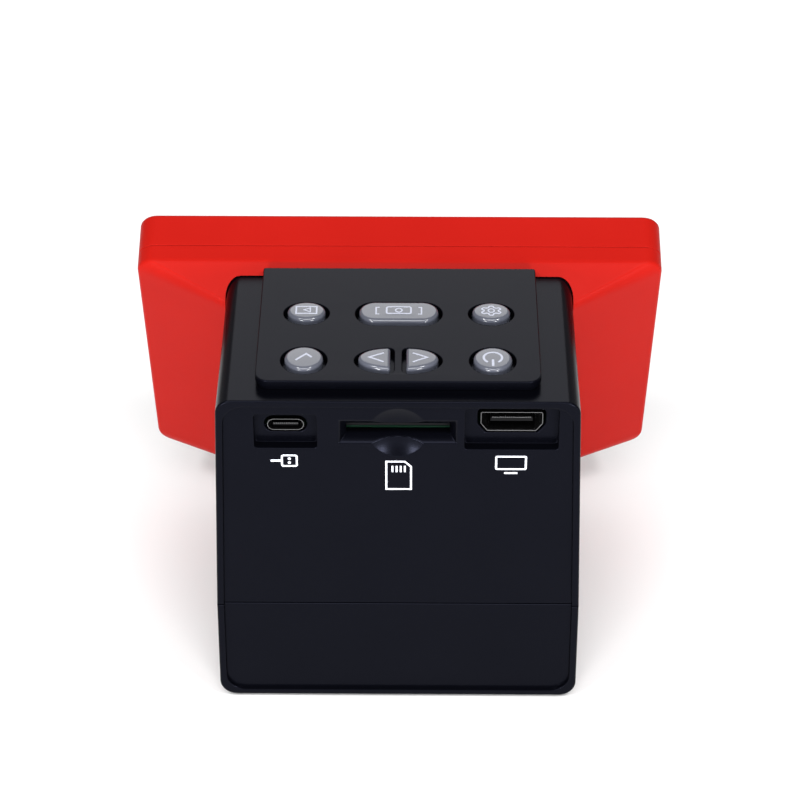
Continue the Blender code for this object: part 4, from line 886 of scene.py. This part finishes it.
def pane_glass():
    """The border is black. Inside it, a rectangle measured across and up the leaning pane is the picture."""
    paint = Paint("screen_black", Specular_IOR_Level=0.3)
    up = paint.along(2) * math.cos(LEAN) - paint.along(1) * math.sin(LEAN)
    middle = DISPLAY_Z * math.cos(LEAN) - DISPLAY_Y * math.sin(LEAN)
    soft = 0.0001
    across = paint.along(0)
    half, tall = VIEW_HALF
    inside = (paint.step(across, -half, soft - half) * paint.step(across, half, half - soft)
              * paint.step(up, middle - tall, middle - tall + soft)
              * paint.step(up, middle + tall, middle + tall - soft))
    smudge = paint.grain(35.0, 2.0)
    paint.fill(paint.shader, {
        "Base Color": paint.tint(inside, (0.0022, 0.0022, 0.0025), (0.006, 0.007, 0.010)),
        "Roughness": 0.06 + 0.05 * smudge,
    })
    return paint.material


pane_piece = screen_pane().piece("screen_pane", pane_glass(), "scanner", "screen_window")


# Keypad plate: the upper tier, a thin black moulding with a hole for each key. Its near edge stands
# proud of the lower tier, which is the frame that it snaps into.
PLATE_HALF = 0.03435
PLATE_NEAR = 0.0043
PLATE_FAR = 0.0535
PLATE_TOP = 0.00297
PLATE_THICK = 0.0016
PLATE_ROUND = 0.0003
HOLE_GAP = 0.00095
HOLE_ROUND = 0.00025
NEAR_ROW = 0.0129
FAR_ROW = 0.0330
COLUMN = 0.0228
ROUND_KEY = 0.0047
FAR_KEY_DEPTH = 0.82
CAPTURE_HALF = (0.0098, 0.0041)
ARROW_X = 0.0058
ARROW_HALF = (0.0039, 0.0044)
ARROW_CORNER = 0.0007
PLATE_RADII = (0.0033, 0.0033, 0.0006, 0.0006)


def disc(grow):
    """The near round keys: a circle."""
    return circle(ROUND_KEY + grow)


def oval(grow):
    """The far round keys: a circle that is drawn in towards the display."""
    return circle(1) * (ROUND_KEY + grow, ROUND_KEY * FAR_KEY_DEPTH + grow)


def lozenge(grow):
    """The long capture key: a bar with half-round ends."""
    return outline(oblong(*CAPTURE_HALF), CAPTURE_HALF[1] - END_FLAT, grow, 12)


def arrow(grow, steps=24):
    """Half an ellipse that points to -X. Its straight side faces the middle, with small round corners. The
    curve is moved out along its normals, the cosine and sine each over their own half axis."""
    angle = np.linspace(math.pi / 2, 3 * math.pi / 2, steps + 1)[1:-1]
    a, b = 2 * ARROW_HALF[0], ARROW_HALF[1]
    bow = np.stack([ARROW_HALF[0] + a * np.cos(angle), b * np.sin(angle)], 1)
    normal = np.stack([np.cos(angle) / a, np.sin(angle) / b], 1)
    bow += grow * normal / np.linalg.norm(normal, axis=1, keepdims=True)
    turn = np.linspace(0, math.pi / 2, 7)
    centre = np.array([ARROW_HALF[0], b]) - ARROW_CORNER
    reach = ARROW_CORNER + grow
    lower = centre * (1, -1) + reach * np.stack([np.sin(turn), -np.cos(turn)], 1)
    upper = centre + reach * np.stack([np.cos(turn), np.sin(turn)], 1)
    return np.vstack([bow, lower, upper])


KEYS = {
    "confirm_key": (-COLUMN, NEAR_ROW, disc),
    "left_key": (-ARROW_X, NEAR_ROW, arrow),
    "right_key": (ARROW_X, NEAR_ROW, lambda grow: (arrow(grow) * (-1, 1))[::-1]),
    "power_key": (COLUMN, NEAR_ROW, disc),
    "playback_key": (-COLUMN, FAR_ROW, oval),
    "capture_key": (0.0, FAR_ROW, lozenge),
    "settings_key": (COLUMN, FAR_ROW, oval),
}


def on_deck(points, height):
    """Points of the body's top, as (x, distance from the back face), at a height over it."""
    return on_body(points[..., 0], points[..., 1], BODY_HEIGHT + height)


def plate(edge, holes, top, bottom, edge_round, hole_round):
    """A plate between two heights: edge and holes are outlines as functions of grow, and the upper edge of
    each is rounded."""
    piece = Casting()
    bend = np.vstack([quarter(edge_round) + (0, top), [(0, bottom)]])
    bore = np.vstack([quarter(hole_round, 3) * (-1, 1) + (0, top), [(0, bottom)]])
    piece.net(np.stack([on_deck(edge(offset), height) for offset, height in bend]))
    for hole in holes:
        piece.net(np.stack([on_deck(hole(offset), height) for offset, height in bore]))
    piece.flat([edge(bend[0, 0]), *[hole(bore[0, 0]) for hole in holes]], lambda flat: on_deck(flat, top))
    piece.flat([edge(0), *[hole(0) for hole in holes]], lambda flat: on_deck(flat, bottom))
    return piece


def plate_edge(grow):
    """The plate's outline, as (x, y): small corners at the far end and wide ones at the near end."""
    middle = (0, (PLATE_NEAR + PLATE_FAR) / 2)
    return outline(oblong(PLATE_HALF, (PLATE_FAR - PLATE_NEAR) / 2, middle), PLATE_RADII, grow)


def key_hole(x, y, shape):
    """A key's hole: its own outline, wider by a gap, as a function of grow."""
    return lambda grow: shape(HOLE_GAP + grow) + (x, y)


holes = [key_hole(*key) for key in KEYS.values()]
plate_piece = plate(plate_edge, holes, PLATE_TOP, PLATE_TOP - PLATE_THICK, PLATE_ROUND, HOLE_ROUND)
plate_piece = plate_piece.piece("keypad_cover", black, "scanner", "keypad_plate")


# Keypad frame: the lower tier, a black moulded ring round the roof's opening. The plate snaps onto it, and it
# shows as a second step under the plate's edge.
FRAME_LOW = 0.00015
FRAME_TOP = 0.0012
FRAME_SETBACK = 0.0006
FRAME_EDGE = 0.0002


def keypad_frame():
    """A ring between the plate's outline, set back, and the roof's opening. Its upper edge is rounded."""
    ring = Casting()
    rows = [(plate_edge(-FRAME_SETBACK), FRAME_LOW)]
    rows += [(plate_edge(-FRAME_SETBACK + offset), FRAME_TOP + height)
             for offset, height in quarter(FRAME_EDGE, 3)[::-1]]
    ring.net(np.stack([on_deck(loop, height) for loop, height in rows]))
    opening = keypad_opening(0)
    ring.net(np.stack([on_deck(opening, height) for height in (FRAME_LOW, FRAME_TOP)]))
    ring.flat([rows[-1][0], opening], lambda flat: on_deck(flat, FRAME_TOP))
    ring.flat([rows[0][0], opening], lambda flat: on_deck(flat, FRAME_LOW))
    return ring


frame_piece = keypad_frame().piece("keypad_base", black, "scanner", "keypad_frame")


# Keys: seven grey moulded caps with rolled edges and a slightly crowned top. Each slides in its hole in the
# plate and is held under it by a collar, so each has a body of its own. The collar is given the body's black
# as painted shade, so the gap round each key looks dark.
KEY_TOP = 0.00402
KEY_ROLL = 0.0009
KEY_CROWN = 0.00015
KEY_SKIRT = 0.00107
KEY_LIP = 0.0012
KEY_FOOT = 0.00027
CAP_FOOT = KEY_SKIRT - 0.0001
COLLAR_ROUND = 0.0001


def crown(points, centre):
    """The height of a key's top: highest over the middle, less the squared share of the way to the edge."""
    away = np.hypot(points[..., 0] - centre[0], points[..., 1] - centre[1])
    return KEY_TOP - KEY_CROWN * np.clip(away / ROUND_KEY, 0, 1) ** 2


def key_cap(x, y, shape):
    """Rings up the skirt, over the rolled edge and in over the crown, which ends on the middle point."""
    cap = Casting()
    edge = shape(-KEY_ROLL) + (x, y)
    base = crown(edge, (x, y))
    rings = [on_deck(shape(0) + (x, y), CAP_FOOT)]
    rings += [on_deck(shape(offset) + (x, y), base + height) for offset, height in quarter(KEY_ROLL, 6)[::-1]]
    inner = [(x, y) + share * (edge - (x, y)) for share in (0.75, 0.5, 0.25, 0.0)]
    rings += [on_deck(ring, crown(ring, (x, y))) for ring in inner]
    cap.net(np.stack(rings))
    cap.flat([shape(0) + (x, y)], lambda flat: on_deck(flat, CAP_FOOT))
    return cap


def key_flange(x, y, shape):
    """The collar under the plate that keeps the key in, with a softened upper edge."""
    collar = Casting()
    rings = [on_deck(shape(KEY_LIP) + (x, y), KEY_FOOT)]
    rings += [on_deck(shape(KEY_LIP + offset) + (x, y), KEY_SKIRT + height)
              for offset, height in quarter(COLLAR_ROUND, 2)[::-1]]
    collar.net(np.stack(rings))
    collar.flat([shape(KEY_LIP - COLLAR_ROUND) + (x, y)], lambda flat: on_deck(flat, KEY_SKIRT))
    collar.flat([shape(KEY_LIP) + (x, y)], lambda flat: on_deck(flat, KEY_FOOT))
    return collar


grey = moulded("key_grey", (0.066, 0.071, 0.093), (0.075, 0.081, 0.106), roughness=0.22, spread=0.08,
               pitch=0.0003, depth=0.000002, Specular_IOR_Level=0.35, Coat_Weight=0.7, Coat_Roughness=0.08)
for name, key in KEYS.items():
    body = name.replace("_key", "_button")
    key_cap(*key).piece(name.replace("_key", "_cap"), grey, body, name)
    # The collar's black is painted shade: it darkens the gap that shows round each key.
    key_flange(*key).piece(name.replace("_key", "_flange"), black, body)


# Key legends and port signs: thin white prints on the key tops and the back panel. The reader of the keys
# sits at the screen, so each legend is turned half round. The signs are plain pictures of what fits there.
PRINT = 0.00002
PRINT_PITCH = 0.0003
GEAR_RADIUS = 0.00215
GEAR_LOBE = 0.00038
GEAR_EDGE = 2.2
GEAR_DEPTH = 0.78


def band(points, width, closed=False):
    """A line of even width with mitred bends, as one outline, or as two when it closes on itself. Each
    mitre is the sum of the two sides' normals over one plus their product."""
    points = np.asarray(points, float)
    after = np.roll(points, -1, 0) - points
    before = np.roll(after, 1, 0)
    if not closed:
        before[0], after[-1] = after[0], before[-1]
    before, after = ([-1, 1] * side[:, ::-1] / np.linalg.norm(side, axis=1, keepdims=True)
                     for side in (before, after))
    mitre = (before + after) / (1 + (before * after).sum(1))[:, None] * width / 2
    if closed:
        return [points + mitre, points - mitre]
    return [np.vstack([points + mitre, (points - mitre)[::-1]])]


def printed(name, loops, place, body, ink_paint):
    """A print over and just into its surface. place turns outline points and a lift into points in space."""
    ink = Casting()
    loops = [filled(loop, ticks_along(loop, PRINT_PITCH)) for loop in loops]
    for lift in (PRINT, -PRINT):
        ink.flat(loops, lambda flat, lift=lift: place(flat, lift))
    for loop in loops:
        ink.net(np.stack([place(loop, PRINT), place(loop, -PRINT)]))
    ink.piece(name, ink_paint, body)


def on_key(key):
    """Places a legend on a key, read from the screen's side."""
    x, y, _ = KEYS[key]

    def place(flat, lift):
        """Turns the points half round about the key's middle and lays them on its crown."""
        points = np.array([x, y]) - flat
        return on_deck(points, crown(points, (x, y)) + lift)
    return place


def gear():
    """Six lobes round a ring: the radius swings with the cosine of six times the angle, which a hyperbolic
    tangent flattens at both ends."""
    angle = np.linspace(0, 2 * math.pi, 120, endpoint=False)
    swing = np.tanh(GEAR_EDGE * np.cos(6 * angle + math.pi))
    radius = GEAR_RADIUS + GEAR_LOBE * swing / math.tanh(GEAR_EDGE)
    return radius[:, None] * np.stack([np.cos(angle), GEAR_DEPTH * np.sin(angle)], 1)


def arc(radius, first, last, steps=40):
    """An arc about the middle, between two angles in degrees."""
    angle = np.radians(np.linspace(first, last, steps + 1))
    return radius * np.stack([np.cos(angle), np.sin(angle)], 1)


print_white = moulded("print_white", (0.74, 0.77, 0.84), (0.80, 0.83, 0.90), roughness=0.45, spread=0.1,
                      pitch=0.0004, depth=0.000002)
print_pale = moulded("print_pale", (0.42, 0.44, 0.53), (0.46, 0.48, 0.57), roughness=0.45, spread=0.1,
                     pitch=0.0004, depth=0.000002)
chevron = np.array([(0.0023, 0.00186), (-0.0012, 0.0), (0.0023, -0.00186)])
bracket = np.array([(0.0044, 0.00145), (0.0056, 0.00145), (0.0056, -0.00145), (0.0044, -0.00145)])
legends = {
    "confirm": band([(-0.0019, 0.0001), (-0.0006, -0.0013), (0.0019, 0.0013)], 0.00055),
    "left": band(-chevron, 0.00045),
    "right": band(chevron, 0.00045),
    "power": band(arc(0.0022, 125, 415), 0.00055) + band([(0, 0.0034), (0, 0.0008)], 0.00060),
    "playback": band(oblong(0.00252, 0.0015, (0, 0)), 0.00040, True)
                + band([(0.00065, 0.0), (-0.00095, 0.00085), (-0.00095, -0.00085)], 0.00030, True),
    "capture": band(outline(oblong(0.0030, 0.00145, (0, -0.0001)), 0.0005, 0, 5), 0.00042, True)
               + band(arc(0.0008, 0, 360, 32)[:-1], 0.00036, True)
               + band(bracket, 0.00036) + band(bracket * (-1, 1), 0.00036),
    "settings": band(gear(), 0.00038, True) + band(arc(0.00075, 0, 360, 32)[:-1], 0.00034, True),
}
for name, loops in legends.items():
    printed(name + "_legend", loops, on_key(name + "_key"), name + "_button", print_pale)


def on_panel(x, z):
    """Places a sign on the sunk panel, with its middle at x and z."""
    return lambda flat, lift: on_body(x + flat[:, 0], PANEL_DEPTH - lift, z + flat[:, 1])


plug = band(outline(oblong(0.0018, 0.0016, (0.0012, 0)), 0.0004, 0, 4), 0.00045, True)
plug += band([(-0.0033, 0), (-0.00085, 0)], 0.00060)
plug += [circle(0.00038, (0.0012, -0.0006), 20), circle(0.00038, (0.0012, 0.0006), 20)]
printed("data_port_sign", plug, on_panel(-0.0275, 0.0750), "scanner", print_white)
card_sides = [(-0.0030, -0.0042), (0.0030, -0.0042), (0.0030, 0.0027), (0.0015, 0.0042), (-0.0030, 0.0042)]
card = band(card_sides, 0.00044, True)
for column in (-0.0015, -0.0005, 0.0005, 0.0015):
    card += band([(column, 0.0010), (column, 0.0029)], 0.00042)
printed("card_sign", card, on_panel(0.00018, 0.07065), "scanner", print_white)
screen = band(outline(oblong(0.0036, 0.0019, (0, 0.0006)), 0.0003, 0, 4), 0.00046, True)
screen += band([(-0.0016, -0.0025), (0.0016, -0.0025)], 0.00050)
printed("video_port_sign", screen, on_panel(0.0274, 0.0740), "scanner", print_white)


# Sockets: two thin drawn steel shells in the port bays, each round a black tongue with its row of contacts,
# and the card socket's black frame. All are soldered to the main board behind the panel.
SOCKET_FACE = 0.0034
MOUTH_LIP = ((0, 0.00006), (0.00004, 0), (0.00014, 0))
MOUTH_CHAMFER = 0.0004
TONGUE_INSET = 0.0006
TONGUE_ROOT = 0.0002
CONTACT_PROUD = 0.00004
CONTACT_SUNK = 0.00012
CONTACT_EDGE = 0.00003
steel = moulded("steel", (0.20, 0.20, 0.205), (0.26, 0.26, 0.265), roughness=0.24, spread=0.06,
                pitch=0.0005, depth=0.000001, Metallic=1.0)
tongue_black = moulded("inner_black", (0.002, 0.002, 0.0025), (0.003, 0.003, 0.0035), roughness=0.6,
                       spread=0.1, pitch=0.0004, depth=0.000004, Specular_IOR_Level=0.1)


def socket_shell(edge, length, skin):
    """A drawn tube with a turned-in lip at its mouth, closed at the back."""
    shell = Casting()
    end = SOCKET_FACE + length
    rows = [(0, end), *[(-inset, SOCKET_FACE + sink) for inset, sink in MOUTH_LIP],
            (-skin, SOCKET_FACE + MOUTH_CHAMFER), (-skin, end - skin)]
    shell.net(np.stack([flat_back(depth)(edge(grow)) for grow, depth in rows]))
    shell.flat([edge(0)], flat_back(end))
    shell.flat([edge(-skin)], flat_back(end - skin))
    return shell


def slab(casting, low, high, radius=0.00012):
    """A block from low to high in the body's frame, with its front edges turned."""
    half = (np.array(high) - low) / 2
    middle = (np.array(high) + low) / 2
    corners = oblong(half[0], half[2], middle[[0, 2]])
    front, side = [outline(corners, radius, grow, 2) for grow in (-radius, 0)]
    rows = [(front, low[1]), (side, low[1] + radius), (side, high[1])]
    casting.net(np.stack([flat_back(depth)(loop) for loop, depth in rows]))
    casting.flat([front], flat_back(low[1]))
    casting.flat([side], flat_back(high[1]))


def tongue(edge, plug_depth, end, half, middle, thickness, mouth):
    """A plug that fills the shell's back from plug_depth to end, and the tongue that stands out of it as far
    as mouth, half its width to each side of its middle."""
    piece = Casting()
    ring = edge(-TONGUE_INSET)
    piece.net(np.stack([flat_back(depth)(ring) for depth in (plug_depth, end)]))
    for depth in (plug_depth, end):
        piece.flat([ring], flat_back(depth))
    slab(piece, (middle[0] - half, mouth, middle[1] - thickness / 2),
         (middle[0] + half, plug_depth + TONGUE_ROOT, middle[1] + thickness / 2))
    return piece


def contacts(count, pitch, width, middle, height, mouth, end):
    """A row of flat contacts at an even pitch, which lie just proud of a tongue from its mouth to end."""
    row = Casting()
    for place in (np.arange(count) - (count - 1) / 2) * pitch + middle:
        low = (place - width / 2, mouth - CONTACT_EDGE, height - CONTACT_SUNK)
        slab(row, low, (place + width / 2, end, height + CONTACT_PROUD), CONTACT_EDGE)
    return row


def usb_outline(grow):
    """The small socket's own outline: its hole without the gap."""
    return usb_hole(grow - HOLE_GROWTH)


tubes = {"usb": socket_shell(usb_outline, length=0.0075, skin=0.0003),
         "video": socket_shell(video_outline, length=0.0115, skin=0.0004)}
for name, casting in tubes.items():
    casting.piece(name + "_tube", steel, "scanner", name + "_shell")
tongues = {"usb": tongue(usb_outline, plug_depth=0.0088, end=0.0104, half=0.0031,
                         middle=(USB_PORT[0], 0.0840), thickness=0.0007, mouth=0.0037),
           "video": tongue(video_outline, plug_depth=0.0118, end=0.0142, half=0.0051,
                           middle=(VIDEO_PORT[0], 0.0852), thickness=0.0012, mouth=0.0045)}
for name, casting in tongues.items():
    casting.piece(name + "_insert", tongue_black, "scanner", name + "_tongue")
rows = {"usb": contacts(12, pitch=0.0005, width=0.00034, middle=USB_PORT[0], height=0.08435,
                        mouth=0.0037, end=0.0080),
        "video": contacts(19, pitch=0.0005, width=0.00036, middle=VIDEO_PORT[0], height=0.0858,
                          mouth=0.0045, end=0.0105)}
for name, casting in rows.items():
    casting.piece(name + "_contacts", steel, "scanner")


# Card socket: a black moulded frame on the main board, behind the slot in the back panel. Only the edge of
# its mouth shows there.
inner_black = moulded("inner_black", (0.004, 0.004, 0.005), (0.006, 0.006, 0.007), roughness=0.6, spread=0.2,
                      pitch=0.0004, depth=0.00001, Specular_IOR_Level=0.12)
dress(inner_black, "card_socket")


# Circuit boards: glass-fibre laminate under dark green lacquer, cut to size. One holds the sockets, one the
# key switches, one the sensor and one the lamps.
board_green = moulded("board_green", (0.003, 0.020, 0.010), (0.004, 0.028, 0.014), roughness=0.35, spread=0.2,
                      pitch=0.0006, depth=0.00001)
dress(board_green, "main_board", "sensor_board", "lamp_board", "key_board")


# Key switches: bright domes stamped from thin steel, one under each key on the key board. They spring back
# when they are let go.
dome_steel = moulded("dome_steel", (0.48, 0.48, 0.49), (0.56, 0.56, 0.57), roughness=0.26, spread=0.1,
                     pitch=0.0005, depth=0.000001, Metallic=1.0)
dress(dome_steel, "confirm_switch", "left_switch", "right_switch", "power_switch", "playback_switch",
      "capture_switch", "settings_switch")


# Display inside: the dark panel behind the pane, its folded steel bracket and the amber film strip that
# joins it to the main board.
dress(inner_black, "display_panel")
dress(dome_steel, "display_bracket")
amber = moulded("flex_amber", (0.40, 0.16, 0.02), (0.50, 0.21, 0.03), roughness=0.35, spread=0.2,
                pitch=0.0006, depth=0.000006)
dress(amber, "display_flex")


# Camera: a black moulded tower that holds the lens barrel over the film, with the sensor on top. The lens is
# clear glass with a faint coating.
dress(inner_black, "camera_tower", "lens_barrel", "image_sensor")
lens_glass = moulded("lens_glass", (0.30, 0.32, 0.36), (0.34, 0.36, 0.40), roughness=0.05, spread=0.02,
                     pitch=0.004, depth=0.000001)
dress(lens_glass, "lens")


# Film guides: two black moulded rails across the body, behind the slots in its sides. They keep the film
# flat, one over it and one under it.
dress(inner_black, "film_guide_lower", "film_guide_upper")


# Lamp: a white moulded box over the lamp board, with an opal plastic sheet on top. It lights the film evenly
# from below.
inner_white = moulded("inner_white", (0.70, 0.70, 0.69), (0.78, 0.78, 0.77), roughness=0.5, spread=0.2,
                      pitch=0.0004, depth=0.00001)
dress(inner_white, "light_box")
opal = moulded("diffuser_white", (0.80, 0.80, 0.80), (0.86, 0.86, 0.86), roughness=0.35, spread=0.1,
               pitch=0.0004, depth=0.000004)
dress(opal, "diffuser")


# Feet and screws: four soft rubber pads pressed into recesses in the base, and two steel screws that run up
# through its posts and hold the two housings together.
rubber = moulded("rubber", (0.012, 0.012, 0.012), (0.02, 0.02, 0.02), roughness=0.8, spread=0.1,
                 pitch=0.0005, depth=0.00002)
dress(rubber, "foot_front_left", "foot_front_right", "foot_rear_left", "foot_rear_right")
dress(dome_steel, "housing_screw_left", "housing_screw_right")


# Floor: a wide pale sweep of matt paper that the scanner stands on. It is wide enough to fill the picture
# from every side.
bpy.ops.mesh.primitive_plane_add(size=8)
floor = bpy.context.object
floor.name = "floor"
sweep = Paint("floor_white", Roughness=0.9)
sweep.fill(sweep.shader, {"Base Color": sweep.tint(sweep.grain(8.0), (0.94, 0.94, 0.94), (0.95, 0.95, 0.95))})
floor.data.materials.append(sweep.material)
